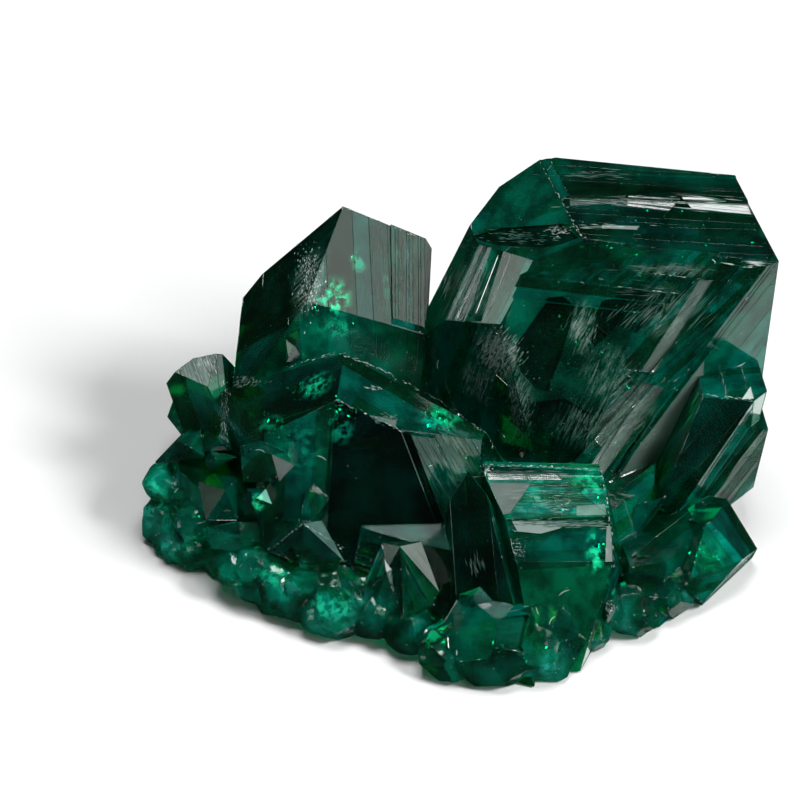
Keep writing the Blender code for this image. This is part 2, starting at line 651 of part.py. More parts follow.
def main():
    for old in list(bpy.data.objects):
        bpy.data.objects.remove(old)
    scene = bpy.context.scene
    growth = bpy.data.collections.new("growth")
    cutters = bpy.data.collections.new("cutters")
    scene.collection.children.link(growth)
    scene.collection.children.link(cutters)
    dice = random.Random(SEED)

    root_block("left_root", LEFT_ROOT, growth)
    for make in (big_crystal, left_crystal, middle_crystal, front_crystal, dark_prism, right_prism, outer_prism,
                 left_small, right_tip, ledge_crystal):
        for name, planes in make():
            cut_block(name, planes, growth)
    for name, corners in POINTED.items():
        cut_block(name, pointed_crystal(*corners), growth)
    for name, shape in HABIT.items():
        cut_block(name, habit_crystal(*shape), growth)
    for number, (across, up, height, radius) in enumerate(RIM_LUMPS):
        cut_block(f"lump_{number}", lump(seen_at_height(across, up, height), radius, 26, dice), growth)
    rim_crust(growth, dice)

    floor = bmesh.new()
    below = Matrix.Translation((0.0, 0.0, -0.5 * BLOCK))
    bmesh.ops.create_cube(floor, size=BLOCK, matrix=below)
    add_solid("flat_cut", floor, cutters)

    cluster = root_block("dioptase_cluster", MAIN_ROOT, scene.collection)
    cluster.data.materials.append(green_material())
    hide(growth)
    hide(cutters)
    add_boolean(cluster, "UNION", growth)
    add_boolean(cluster, "DIFFERENCE", cutters)
    shift = finish_cluster(cluster)
    for solid in (*growth.objects, *cutters.objects):
        solid.location = shift


main()
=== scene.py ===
"""Dresses the dioptase cluster: clear deep green crystal with stepped, striated faces, on a pale studio floor."""
import math

import bmesh
import bpy
import numpy as np
from mathutils import Matrix, Vector, noise
from mathutils.bvhtree import BVHTree


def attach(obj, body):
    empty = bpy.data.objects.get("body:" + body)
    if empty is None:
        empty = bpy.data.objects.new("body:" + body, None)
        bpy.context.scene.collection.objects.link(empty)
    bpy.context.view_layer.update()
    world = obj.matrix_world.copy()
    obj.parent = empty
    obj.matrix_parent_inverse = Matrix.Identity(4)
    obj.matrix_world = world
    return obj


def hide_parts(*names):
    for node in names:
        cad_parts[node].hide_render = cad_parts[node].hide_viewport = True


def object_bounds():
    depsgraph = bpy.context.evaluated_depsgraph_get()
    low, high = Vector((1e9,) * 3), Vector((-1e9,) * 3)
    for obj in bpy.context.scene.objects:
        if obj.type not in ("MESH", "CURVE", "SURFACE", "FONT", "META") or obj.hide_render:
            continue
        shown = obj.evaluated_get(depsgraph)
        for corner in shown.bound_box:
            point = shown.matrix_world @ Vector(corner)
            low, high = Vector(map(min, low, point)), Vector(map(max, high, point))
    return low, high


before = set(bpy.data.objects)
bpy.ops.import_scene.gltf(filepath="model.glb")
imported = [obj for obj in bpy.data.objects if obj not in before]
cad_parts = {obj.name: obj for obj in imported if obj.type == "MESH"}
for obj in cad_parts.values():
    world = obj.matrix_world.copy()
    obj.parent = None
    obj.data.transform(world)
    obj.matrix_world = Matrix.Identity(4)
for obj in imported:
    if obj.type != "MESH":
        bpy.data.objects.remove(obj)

CAD_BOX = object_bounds()
MM = 0.001
SEED = 7

# The photograph's view: straight on, looking down, through a very long lens. A place that this view shows is
# given as across and up, in millimetres from the middle of its frame.
VIEW_TILT = math.radians(40.0)
VIEW_WIDTH = 53.333 * MM               # what the frame spans at the specimen
VIEW_DISTANCE = 1.5
VIEW_CENTRE = Vector((-3.893, 4.059, 8.4)) * MM
SENSOR = 36.0
TOWARD_EYE = Vector((0.0, -math.cos(VIEW_TILT), math.sin(VIEW_TILT)))
VIEW_UP = Vector((0.0, math.sin(VIEW_TILT), math.cos(VIEW_TILT)))
VIEW_RIGHT = Vector((1.0, 0.0, 0.0))

# Where the studio lights stand, as directions from the specimen.
GREY_LIGHT = (0.58, -0.60, 0.56)
KEY_LIGHT = (0.69, -0.30, 0.70)
OVERHEAD = (0.0, 0.10, 1.0)
GLITTER_LIGHTS = (KEY_LIGHT, OVERHEAD)  # the ones that the cracks inside the crystals mirror to the eye

# Dioptase: a copper silicate, IOR 1.65 to 1.71, which takes out red in a fraction of a millimetre.
DIOPTASE_IOR = 1.67
ABSORBED_PER_MM = (1.15, 0.15, 0.27)   # share of red, green and blue lost on each millimetre, as exponents

# The steps of growth on the faces.
STEP_WALL = 0.03 * MM                  # how far a step's wall leans in
SMALLEST_STRIP = 0.10 * MM
DEEPEST_FACET = 0.45 * MM
SMALLEST_FACET = 0.02                  # square millimetres
FACET_STRIPS = (0.12, 0.4)             # how wide the strips of a smaller facet are, in millimetres
FACET_STEP = 0.02
TERRACE = 0.4 * MM
SAME_FACE = 0.7 * MM                   # a terrace this near to a named face, and level with it, is finished as it is

# The broken crust round the foot: rounded lumps with a crumbly skin.
CRUST_TOP = 4.4 * MM
LEFT_CRUST_TOP = 5.8 * MM
LEFT_CRUST_ACROSS = -16.0 * MM
CRUST_BACK = 3.0 * MM
CRUST_FACET = 5.0                      # square millimetres: a larger facet is a crystal's own
CRUST_GRAIN = 0.42 * MM
PATCH_DEPTH = 0.9                      # how far an etched or glowing place reaches off its face, in millimetres
CRUST_WAVES = ((1.6 * MM, 0.10 * MM), (0.7 * MM, 0.08 * MM))   # length and height of its unevenness
CRUMBLY_UP_TO = 2.0                    # left of this the lumps have a crumbly skin, and right of it a smooth one
CRISP = math.radians(12.0)             # lumps keep edges sharper than this


class Face:
    """How one crystal face is finished. lines is the way its striations run in the photograph's view."""

    # grey is pale grey painted on the face: a painted reflection of the lights.
    def __init__(self, across, up, lines=None, spacing=(0.5, 1.4), depth=0.05, tilt=0.6, milk=0.1, frost=0.0,
                 breaks=0.5, grey=0.0):
        self.across, self.up, self.lines = across, up, lines
        self.spacing, self.depth, self.tilt = spacing, depth, tilt
        self.milk, self.frost, self.breaks, self.grey = milk, frost, breaks, grey


FACES = {
    "big top front": Face(19.5, 11.0, (1.0, -0.06), (0.25, 0.9), 0.06, 1.0, milk=0.04),
    "big top middle": Face(16.0, 13.4, (1.0, -0.06), (0.2, 0.7), 0.06, 1.0, milk=0.05),
    "big top back": Face(16.0, 15.3, (1.0, -0.06), (0.2, 0.5), 0.06, 1.0, milk=0.06),
    "big shoulder": Face(8.5, 13.2, (0.7, 0.7), (1.5, 3.5), 0.03, 0.4, milk=0.13),
    "big front inner": Face(12.0, 2.5, (-0.45, -0.89), None, milk=0.07),
    "big front top": Face(9.5, 8.6, (1.0, -0.06), None, milk=0.18),
    "big front chevron": Face(14.5, 6.5, (-0.73, -0.68), None, milk=0.12),
    "big front frame": Face(20.0, 5.5, (-0.73, -0.68), (0.12, 0.4), 0.03, 1.0, milk=0.10),
    "big front edge": Face(23.3, 7.5, (-0.73, -0.68), None, milk=0.18),
    "big right": Face(22.6, 4.8, (-0.62, -0.78), (0.6, 2.2), 0.02, 0.3, milk=0.16),
    "big right strip": Face(16.7, -1.3, None, milk=0.10),
    "big cheek": Face(5.9, 8.0, (-0.42, -0.9), None, milk=0.26),
    "big cheek side": Face(3.6, 7.5, (-0.42, -0.9), None, milk=0.14),
    "big under cheek": Face(4.6, 1.5, (-0.3, -0.95), (0.5, 1.6), 0.06, 1.0, milk=0.08),
    "left grey": Face(-3.0, 8.5, (0.05, -1.0), (0.8, 2.4), 0.03, 0.5, milk=0.08, breaks=0.0),
    "left grey step": Face(0.6, 7.8, (0.0, -1.0), (0.15, 0.6), 0.04, 1.2, milk=0.08),
    "left below grey": Face(-2.0, 4.6, (0.0, -1.0), (0.8, 2.0), 0.03, 0.6, milk=0.16),
    "left dark": Face(-7.6, 7.3, (0.7, 0.7), (0.5, 2.0), 0.06, 1.2, milk=0.03),
    "middle roof": Face(-7.0, 0.7, (0.9, 0.3), (0.7, 2.0), 0.05, 1.2, milk=0.03),
    "middle bevel": Face(-1.0, 0.6, (0.86, -0.5), (1.0, 2.4), 0.03, 0.5, milk=0.08),
    "middle black": Face(-1.5, -3.5, (0.2, -1.0), None, milk=0.008),
    "middle grey": Face(2.4, -4.0, (0.5, -0.86), (0.2, 0.6), 0.05, 1.5, milk=0.10),
    "front top": Face(9.5, -6.3, (1.0, 0.0), (0.2, 0.6), 0.06, 2.0, milk=0.30, breaks=2.0),
    "front face": Face(10.5, -9.7, (1.0, 0.03), (0.6, 1.6), 0.04, 0.6, milk=0.09),
    "front skirt": Face(9.8, -12.8, None, milk=0.18),
    "dark prism": Face(4.9, -8.2, (0.1, -1.0), (0.6, 1.6), 0.05, 0.8, milk=0.015),
    "right prism cap": Face(22.0, 1.2, (1.0, 0.1), (0.4, 1.0), 0.05, 0.8, milk=0.10),
    "right prism front": Face(21.0, -2.3, (-0.62, -0.78), (0.7, 1.8), 0.05, 0.8, milk=0.03),
    "right prism left": Face(18.9, -1.5, (-0.62, -0.78), (0.4, 1.0), 0.04, 0.6, milk=0.14),
    "ledge": Face(17.0, -9.6, (0.8, 0.6), (0.8, 2.0), 0.03, 0.5, milk=0.07),
    "tip": Face(20.9, -10.3, (0.6, -0.8), (0.4, 1.2), 0.04, 0.8, milk=0.20),
    "bright corner": Face(-9.2, -6.33, None, milk=0.5, frost=0.4),
    # The pale grey on these faces is a painted reflection of the lights.
    "corner facet": Face(-7.7, -4.3, None, milk=0.26, grey=0.9),
    "slab facet": Face(-12.0, -6.0, None, milk=0.16, grey=0.6),
    "pyramid right": Face(-5.0, -9.0, None, milk=0.18, grey=0.45),
    "grey triangle": Face(-1.0, -9.8, None, milk=0.3, grey=0.8),
    "grey blade": Face(1.0, -10.8, None, milk=0.2, grey=0.6),
    "bright blade": Face(1.7, -11.0, None, milk=0.14, grey=0.3, frost=0.5),
    "bright lump": Face(7.7, -15.4, None, milk=0.10),
    "left small": Face(-12.9, 2.6, (0.35, -0.94), (0.10, 0.3), 0.03, 3.0, milk=0.45, grey=0.8),
}
PLAIN_FACES = ("big cheek",)
CRUST_MILK = 0.09                      # the broken crust round the rim is full of cracks, which makes it paler


class Facet:
    """A smaller facet within a face, by its corners in the view.

    sunk is how far it lies below the face, in millimetres, and toward is the light that it leans to. lines is the
    way its striations run, and tilt is how far they lean, in degrees.
    """

    # grey is pale grey painted on the facet: a painted reflection or painted highlight of the lights.
    def __init__(self, corners, milk=0.02, grey=0.0, frost=0.0, sunk=0.05, toward=None, lines=None, tilt=1.0):
        self.corners, self.milk, self.grey, self.frost = corners, milk, grey, frost
        self.sunk, self.toward, self.lines, self.tilt = sunk, toward, lines, tilt


FACETS = {
    # The bands of the big crystal's left cheek.
    "cheek left band": Facet(((5.1, 10.5), (6.0, 10.2), (4.2, 5.2), (3.0, 5.3)), milk=0.20, grey=0.3,
                             lines=(-0.42, -0.9), tilt=7.0),
    "cheek teal band": Facet(((6.1, 10.2), (6.9, 10.0), (5.4, 5.2), (4.3, 5.2)), milk=0.26, sunk=0.05,
                             toward=(-0.86, -0.48, 0.18)),
    # The clear windows in the front of the big crystal, and the steps beside them, which are painted pale grey as
    # painted reflections.
    "teal plate": Facet(((7.6, 6.7), (9.8, 6.6), (7.7, 3.7), (6.9, 4.9)), milk=0.17, sunk=0.03),
    "window left": Facet(((9.8, 6.8), (10.8, 6.9), (11.6, 6.2), (11.4, 4.9), (10.6, 2.7), (9.9, 0.5), (8.9, 0.8),
                          (7.8, 2.0), (7.7, 3.7)), sunk=0.12),
    "window right": Facet(((13.4, 6.6), (15.2, 6.9), (14.2, 4.6), (12.9, 3.5), (12.4, 4.1)), milk=0.02, sunk=0.10),
    "window low": Facet(((8.6, -0.2), (10.9, 0.1), (12.7, -0.9), (12.2, -4.0), (9.6, -4.6), (6.4, -3.2)), milk=0.02,
                        sunk=0.08),
    "chevron window": Facet(((14.9, 8.3), (19.6, 7.9), (15.6, 4.4), (13.9, 5.2)), milk=0.03, sunk=0.06),
    "jagged band": Facet(((4.6, 10.9), (6.6, 11.5), (10.7, 11.8), (11.9, 10.7), (9.6, 10.2), (6.5, 10.3)), milk=0.03,
                         sunk=0.12),
    "long band": Facet(((14.3, -5.2), (20.2, 2.6), (20.2, 1.5), (16.9, -4.4), (15.9, -4.9)), milk=0.28, grey=0.75,
                       sunk=0.04),
    "end facet": Facet(((23.5, -0.1), (24.3, 0.5), (24.4, -1.9), (23.4, -1.8)), milk=0.45, grey=0.35, sunk=0.03),
    "dark lump": Facet(((6.2, -14.2), (9.0, -14.0), (8.3, -16.8), (6.2, -16.6)), milk=0.10,
                       toward=(0.84, -0.10, 0.52), sunk=0.02),
    "clean strip": Facet(((19.9, 8.0), (20.7, 7.9), (16.9, 1.8), (16.0, 1.9)), milk=0.28, grey=0.75, sunk=0.08),
    "striated band": Facet(((15.5, 1.0), (16.8, 1.1), (13.4, -3.1), (12.3, -2.1)), milk=0.16, grey=0.6,
                           lines=(-0.73, -0.68)),
    "clean band low": Facet(((16.9, 1.0), (17.5, 0.8), (14.2, -4.0), (13.3, -5.2), (12.7, -4.3), (13.9, -2.5)),
                            milk=0.28, grey=0.75, sunk=0.08),
    "flat at the foot": Facet(((11.0, -2.7), (13.2, -2.8), (12.6, -4.1), (11.0, -4.1)), milk=0.14, grey=0.7),
    # The streaks along its top: some leaned to the overhead light, and all painted pale grey as painted highlights.
    "top streak right": Facet(((18.7, 13.5), (20.2, 13.5), (23.3, 13.0), (23.5, 12.3), (19.4, 12.7)), milk=0.40,
                              grey=1.0, toward=OVERHEAD, sunk=0.04, lines=(1.0, -0.07)),
    "top streak middle": Facet(((15.2, 13.6), (18.6, 13.4), (17.9, 12.6), (15.0, 12.9)), milk=0.22, grey=1.0,
                               toward=OVERHEAD, sunk=0.04, lines=(1.0, -0.07)),
    "top streak left": Facet(((11.3, 13.35), (15.0, 13.6), (14.8, 13.1), (11.3, 12.9)), milk=0.16, grey=0.7,
                             sunk=0.04, lines=(1.0, -0.07)),
    "top line": Facet(((13.4, 11.6), (15.9, 11.55), (15.7, 11.3), (13.4, 11.4)), milk=0.4, grey=0.9, sunk=0.03),
    # The front crystal's pale steps: pale grey painted on them as painted highlights.
    "lip": Facet(((5.7, -4.5), (10.2, -4.75), (10.9, -5.3), (5.9, -5.3)), milk=0.20, grey=0.9, toward=OVERHEAD,
                 sunk=0.03, lines=(1.0, 0.0)),
    "grey corner": Facet(((5.9, -5.45), (8.7, -5.5), (7.3, -7.5), (6.7, -7.6)), milk=0.26, grey=0.85, sunk=0.05),
    "pale step": Facet(((11.7, -7.0), (13.6, -6.9), (13.7, -7.6), (11.7, -7.65)), milk=0.5, grey=0.5, sunk=0.03),
    "pale band": Facet(((7.4, -8.0), (11.2, -8.0), (10.6, -8.5), (9.3, -8.85), (7.8, -8.7)), milk=0.5, grey=0.85,
                       sunk=0.05),
    "right chip": Facet(((13.7, -8.4), (14.0, -8.4), (14.1, -10.7), (13.6, -10.7)), milk=0.4, grey=0.9, sunk=0.04),
    # The group on the right: a painted glint on the cap, and a painted reflection on the outer face, both pale grey.
    "cap glint": Facet(((22.7, 0.05), (23.3, 0.9), (23.5, 0.1)), milk=0.9, grey=1.0, sunk=0.02),
    "outer face": Facet(((24.3, -2.0), (23.1, -4.0), (20.3, -7.6), (20.1, -7.2), (22.6, -4.0), (23.9, -2.0)),
                        milk=0.34, grey=0.8, sunk=0.04),
    "dark groove": Facet(((17.0, -0.3), (17.2, -0.5), (14.3, -5.1), (14.1, -5.0)), milk=0.0, sunk=0.25),
    # Chips on the crystals to the left, painted pale grey: partly chipped stone, partly a painted reflection.
    "bevel chip": Facet(((-2.0, -1.0), (-0.2, -1.3), (-0.3, -1.8), (-1.9, -1.55)), milk=0.22, grey=0.85),
    "left chip": Facet(((-7.6, 4.1), (-6.7, 4.5), (-6.6, 2.9), (-7.4, 2.7)), milk=0.25, grey=0.9),
}


class Glow:
    """A place on the faces, for a painted glow or an etching: its middle, half sizes and strength."""

    def __init__(self, across, up, wide, high, strength):
        self.across, self.up, self.wide, self.high, self.strength = across, up, wide, high, strength


# Painted glow: bright green painted where light shines through the crystal, over cracks that make the face milky.
PAINTED_GLOWS = {
    "left crystal": Glow(-4.4, 6.8, 1.5, 1.7, 1.0),
    "left crystal spot": Glow(-2.7, 9.3, 0.8, 1.1, 0.45),
    "left crystal line": Glow(-0.9, 7.6, 0.35, 1.5, 0.35),
    "below the grey face": Glow(-4.3, 4.8, 2.0, 0.9, 0.35),
    "roof": Glow(-5.6, 1.0, 1.2, 1.1, 0.8),
    "roof left": Glow(-8.8, -1.6, 1.3, 1.6, 0.35),
    "roof right": Glow(-4.0, -1.9, 1.2, 1.3, 0.35),
    "bevel": Glow(2.7, -1.2, 1.9, 1.2, 0.5),
    "dark corner": Glow(-9.5, -6.8, 0.7, 0.8, 0.9),
    "front crystal": Glow(13.0, -10.0, 0.9, 1.9, 0.9),
    "front crystal top": Glow(12.8, -5.5, 1.8, 1.2, 0.5),
    "tip": Glow(20.6, -10.3, 1.4, 1.3, 0.2),
    "roof middle": Glow(-6.6, -3.2, 2.0, 2.2, 0.25),
    "left rim": Glow(-16.2, -6.8, 1.3, 3.2, 0.45),
    "left slope": Glow(-13.2, -9.4, 2.4, 1.5, 0.35),
    "front rim": Glow(-4.4, -13.6, 3.0, 1.4, 0.45),
    "pyramid foot": Glow(-8.4, -11.6, 2.0, 1.0, 0.35),
}
# Frosty, feathered etching, along the striations of the face that it lies on.
ETCHINGS = {
    "feathers high": Glow(12.1, 4.8, 1.2, 2.2, 0.9),
    "feathers low": Glow(14.0, 1.6, 2.6, 2.6, 0.55),
    "corner": Glow(6.6, 3.0, 2.2, 2.3, 1.0),
    "corner foot": Glow(7.9, -0.4, 1.4, 3.0, 0.8),
    "corner side": Glow(5.2, 1.2, 1.5, 1.8, 0.8),
    "scattered": Glow(12.6, -1.6, 3.4, 2.2, 0.5),
    "foot": Glow(15.0, -0.6, 2.6, 3.2, 0.7),
    "chevron": Glow(17.4, 5.8, 2.2, 2.4, 0.6),
    "chevron top": Glow(18.3, 8.6, 3.8, 0.6, 0.8),
    "cheek": Glow(5.0, 7.2, 3.0, 3.0, 0.5),
    "grey face": Glow(0.2, 8.4, 3.0, 4.0, 0.25),
    "crumbled edge": Glow(-6.1, 7.8, 1.3, 3.0, 0.9),
    "middle grey": Glow(3.4, -4.0, 2.4, 4.0, 0.4),
    "front crystal": Glow(9.8, -6.6, 4.5, 1.6, 0.35),
}


class Patch:
    """A place where splinters lie: its middle and half sizes in the view, which way they run, and their sizes."""

    def __init__(self, across, up, wide, high, lines, count, length, width, tone=(0.3, 0.9)):
        self.across, self.up, self.wide, self.high = across, up, wide, high
        self.lines, self.count, self.length, self.width, self.tone = lines, count, length, width, tone


LEVEL = (1.0, -0.07)                   # the way the striations of the big crystal's top run in the view
SLANT = (-0.42, -0.90)                 # the way its long edges run down to the left
FALL = (-0.70, -0.71)                  # the way the growth steps of its front run down
# Fine pale strokes: painted highlights where steps catch the light, glints painted as strokes, and etched patches.
STROKES = {
    "top streak right": Patch(21.0, 13.0, 2.4, 0.42, LEVEL, 50, (0.8, 2.6), (0.03, 0.08), (0.4, 1.0)),
    "top streak left": Patch(15.2, 13.2, 4.0, 0.40, LEVEL, 60, (0.5, 1.8), (0.03, 0.06), (0.2, 0.8)),
    "top middle streak": Patch(13.5, 11.5, 2.4, 0.12, LEVEL, 30, (0.4, 1.4), (0.03, 0.07), (0.4, 0.9)),
    "jagged crumbs": Patch(7.9, 10.8, 3.2, 0.5, LEVEL, 80, (0.2, 0.9), (0.03, 0.09), (0.0, 0.4)),
    "top crumbs": Patch(10.6, 11.2, 0.9, 0.35, LEVEL, 60, (0.08, 0.30), (0.03, 0.08), (0.5, 1.0)),
    "top front right": Patch(23.4, 8.95, 1.5, 0.22, LEVEL, 45, (0.6, 2.2), (0.05, 0.10), (0.6, 1.0)),
    "top back": Patch(12.8, 15.0, 2.6, 0.30, LEVEL, 40, (0.4, 1.5), (0.02, 0.06), (0.1, 0.5)),
    "chevron band": Patch(18.2, 8.7, 2.8, 0.25, LEVEL, 60, (0.8, 2.4), (0.03, 0.07), (0.2, 0.5)),
    "chevron lines": Patch(16.0, 7.4, 1.6, 0.45, LEVEL, 22, (0.6, 1.8), (0.02, 0.04), (0.2, 0.5)),
    "chevron falls": Patch(19.3, 6.2, 1.4, 1.2, FALL, 60, (0.8, 2.6), (0.02, 0.05), (0.1, 0.5)),
    "inner falls": Patch(15.8, 5.6, 1.5, 1.0, FALL, 50, (0.4, 1.6), (0.02, 0.06), (0.1, 0.5)),
    "feathers high": Patch(12.2, 4.7, 0.9, 1.4, SLANT, 130, (0.2, 0.8), (0.02, 0.05), (0.1, 0.55)),
    "feathers low": Patch(14.0, 1.6, 1.6, 1.6, SLANT, 90, (0.2, 0.7), (0.02, 0.05), (0.0, 0.4)),
    "etched corner": Patch(6.6, 3.2, 1.3, 1.3, (-0.62, -0.78), 420, (0.15, 0.6), (0.03, 0.06), (0.3, 0.75)),
    "etched foot": Patch(7.9, -0.4, 0.9, 1.9, SLANT, 230, (0.15, 0.6), (0.02, 0.05), (0.1, 0.55)),
    "etched side": Patch(5.2, 1.2, 1.0, 1.1, SLANT, 110, (0.15, 0.5), (0.02, 0.05), (0.1, 0.5)),
    "scattered low": Patch(12.8, -1.8, 2.2, 1.2, SLANT, 110, (0.1, 0.6), (0.02, 0.04), (0.1, 0.6)),
    "cheek lines": Patch(4.6, 7.2, 1.7, 1.9, SLANT, 120, (0.5, 2.0), (0.02, 0.06), (0.1, 0.7)),
    "cheek sliver": Patch(3.0, 7.6, 0.5, 0.7, (-0.3, -0.95), 20, (0.4, 0.9), (0.03, 0.06), (0.4, 0.9)),
    "grey striations": Patch(-0.3, 8.6, 1.9, 2.6, (-0.04, -1.0), 90, (0.6, 3.0), (0.01, 0.03), (0.1, 0.45)),
    "crumbled edge": Patch(-6.1, 8.0, 0.75, 2.1, (-0.2, -1.0), 420, (0.06, 0.26), (0.04, 0.12), (0.0, 1.0)),
    "bevel dash": Patch(-1.8, 0.8, 0.6, 0.12, (0.8, -0.5), 18, (0.1, 0.4), (0.02, 0.05), (0.5, 0.9)),
    "bevel chip": Patch(-1.0, -1.25, 0.8, 0.35, (0.8, -0.3), 70, (0.1, 0.4), (0.05, 0.12), (0.1, 0.4)),
    "left bright face": Patch(-13.0, 2.6, 0.85, 1.1, (0.35, -0.94), 160, (0.2, 0.7), (0.02, 0.06), (0.3, 1.0)),
    "left teal edge": Patch(-11.7, -0.9, 0.35, 1.6, (0.1, -1.0), 170, (0.08, 0.4), (0.04, 0.10), (0.1, 0.8)),
    "left high edge": Patch(-10.3, 1.2, 1.2, 0.35, (0.8, 0.5), 90, (0.08, 0.4), (0.03, 0.08), (0.1, 0.7)),
    "front lip": Patch(8.0, -4.95, 2.9, 0.35, (1.0, -0.02), 90, (0.5, 1.8), (0.03, 0.09), (0.1, 0.6)),
    # A painted glint, as pale strokes.
    "front glint": Patch(5.8, -4.7, 0.5, 0.25, (1.0, 0.0), 40, (0.05, 0.2), (0.04, 0.10), (0.7, 1.0)),
    "front top strokes": Patch(10.3, -6.9, 1.3, 0.6, (1.0, 0.03), 60, (0.15, 0.8), (0.02, 0.06), (0.2, 0.8)),
    "front band": Patch(10.6, -8.2, 3.0, 0.28, (1.0, 0.05), 110, (0.3, 1.2), (0.05, 0.12), (0.1, 0.45)),
    "front dust": Patch(7.7, -10.1, 0.5, 0.9, (0.5, 0.5), 60, (0.03, 0.09), (0.02, 0.06), (0.5, 1.0)),
    # A painted glint, as pale strokes.
    "low glint": Patch(13.9, -13.8, 0.35, 0.5, (0.3, -0.9), 40, (0.08, 0.35), (0.04, 0.12), (0.5, 1.0)),
    "prism foot": Patch(5.0, -10.9, 0.6, 0.8, (0.25, -0.97), 24, (0.4, 1.0), (0.02, 0.04), (0.1, 0.4)),
    "foot of the big face": Patch(15.3, -1.0, 1.9, 1.9, (0.55, -0.83), 170, (0.1, 0.5), (0.02, 0.04), (0.0, 0.3)),
}
# Chipped edges that the view shows as thin bright lines, as across and up of their ends: the pale splinters along
# them are partly chips and partly a painted highlight of the light that the edges catch.
CHIPPED_EDGES = {
    "ridge": ((-7.5, 2.2), (-4.3, 3.15), (-3.2, 2.8), (-1.8, 2.3), (2.1, 0.3), (5.6, -2.1)),
    "front back": ((5.6, -4.35), (9.0, -4.4), (13.3, -4.6)),
    "bevel foot": ((-4.2, 0.0), (0.0, -2.0)),
    "crown": ((-9.2, 8.7), (-3.8, 12.9), (1.7, 10.7)),
    "shoulder": ((9.2, 16.0), (12.0, 10.9)),
    "pyramid": ((-8.8, -10.0), (-6.4, -8.2), (-3.7, -9.9)),
    "cap": ((20.0, 0.4), (23.4, 0.0)),
    "front right": ((13.3, -4.6), (13.9, -7.9), (14.2, -11.0)),
}
# Cracks inside the crystals, which glitter: across, up, half sizes, depth below the face, and how many.
INNER_CRACKS = {
    "glow in the left crystal": (-4.5, 6.9, 0.75, 0.9, (0.2, 0.9), 150),
    "left crystal spot": (-2.7, 9.3, 0.4, 0.5, (0.3, 1.0), 25),
    "left crystal star": (-1.7, 6.6, 0.3, 0.35, (0.2, 0.6), 16),
    "below the grey face": (-4.0, 4.9, 1.3, 0.5, (0.2, 1.0), 50),
    "roof": (-6.9, 0.9, 0.8, 0.6, (0.3, 1.2), 70),
    "roof low": (-8.6, -1.5, 0.9, 0.9, (0.4, 1.6), 80),
    "roof right": (-4.0, -0.9, 1.3, 1.0, (0.4, 1.6), 50),
    "bevel right": (2.6, -1.2, 1.2, 0.8, (0.2, 0.8), 60),
    "dark corner": (-9.5, -6.7, 0.5, 0.4, (0.2, 0.8), 40),
    "pyramid inside": (-7.4, -11.0, 1.0, 0.5, (0.2, 0.8), 50),
    "big crystal left": (4.0, 2.5, 1.4, 3.0, (0.3, 1.8), 110),
    "big crystal front": (13.0, 3.0, 4.5, 3.5, (0.4, 2.4), 200),
    "big crystal low": (11.0, -2.4, 3.6, 1.0, (0.3, 1.6), 90),
    "big top": (17.0, 11.4, 5.0, 2.4, (0.2, 1.4), 90),
    "front crystal glow": (13.2, -10.0, 0.35, 0.9, (0.2, 0.8), 60),
    "front crystal top": (11.5, -6.3, 1.8, 0.9, (0.2, 0.9), 50),
    "right face": (23.4, 5.6, 1.0, 1.8, (0.2, 1.0), 18),
    "teal tip": (20.6, -10.3, 0.8, 0.9, (0.2, 0.8), 50),
    "lumps": (8.8, -16.9, 4.0, 0.8, (0.2, 0.9), 60),
    "left lumps": (-13.6, -8.0, 2.2, 2.2, (0.2, 0.9), 90),
}
# Pale blue-green places in the crust, where it is most cracked: across, up, reach and strength.
PALE_PLACES = (
    (-16.4, -7.7, 0.9, 1.0), (-15.8, -5.3, 0.9, 0.8), (-15.3, -9.6, 0.8, 0.8), (-12.0, -1.2, 0.8, 0.9),
    (-4.4, -14.6, 1.6, 0.8), (-2.4, -13.3, 1.0, 0.6), (9.7, -17.6, 1.1, 1.0), (13.3, -16.2, 0.6, 1.0),
    (14.7, -14.9, 0.8, 0.8), (19.0, -13.0, 0.7, 0.8), (-7.0, -12.3, 0.9, 0.6), (1.5, -15.3, 0.9, 0.4),
)
STROKE_LIFT = 0.10 * MM                # a stroke whose end would stand further off the face is left out
EDGE_CHIPS = 900                       # chips along all the crystals' edges together
SPECKS = 260                           # specks of dust all over
FIBRE_WIDTH = 0.024 * MM
FIBRES = ((9.2, -14.3), (11.4, -12.6), (9.9, -15.0), (-5.6, -3.7), (4.8, 11.2), (2.6, 2.0), (22.3, 2.2), (-8.9, -3.6))


def linear(hex_colour, alpha=1.0):
    """An sRGB hex colour as linear light."""
    channels = [int(hex_colour[place:place + 2], 16) / 255.0 for place in (1, 3, 5)]
    return (*[c / 12.92 if c <= 0.04045 else ((c + 0.055) / 1.055) ** 2.4 for c in channels], alpha)


def add(tree, kind, settings=None, **inputs):
    """Adds a node. settings are its properties; inputs are values or sockets, by name or as i0, i1 for a number."""
    node = tree.nodes.new(kind)
    for name, value in (settings or {}).items():
        setattr(node, name, value)
    for name, value in inputs.items():
        socket = node.inputs[int(name[1:]) if name[1:].isdigit() else name.replace("_", " ")]
        if isinstance(value, bpy.types.NodeSocket):
            tree.links.new(value, socket)
        else:
            socket.default_value = value
    return node


def in_view(across, up, near=0.0):
    """A point given in the photograph's view, in millimetres, as a point of the specimen in metres."""
    return VIEW_CENTRE + MM * (float(across) * VIEW_RIGHT + float(up) * VIEW_UP + near * TOWARD_EYE)


def facet_under(tree, across, up):
    """The number of the face that the photograph's view shows at a place, and the point on it."""
    point, normal, number, distance = tree.ray_cast(in_view(across, up, 100.0), -TOWARD_EYE)
    return number, point


def run_in_face(lines, normal):
    """The direction in a face that runs as lines does in the view."""
    flat = lines[0] * VIEW_RIGHT + lines[1] * VIEW_UP
    return (flat - TOWARD_EYE * flat.dot(normal) / TOWARD_EYE.dot(normal)).normalized()


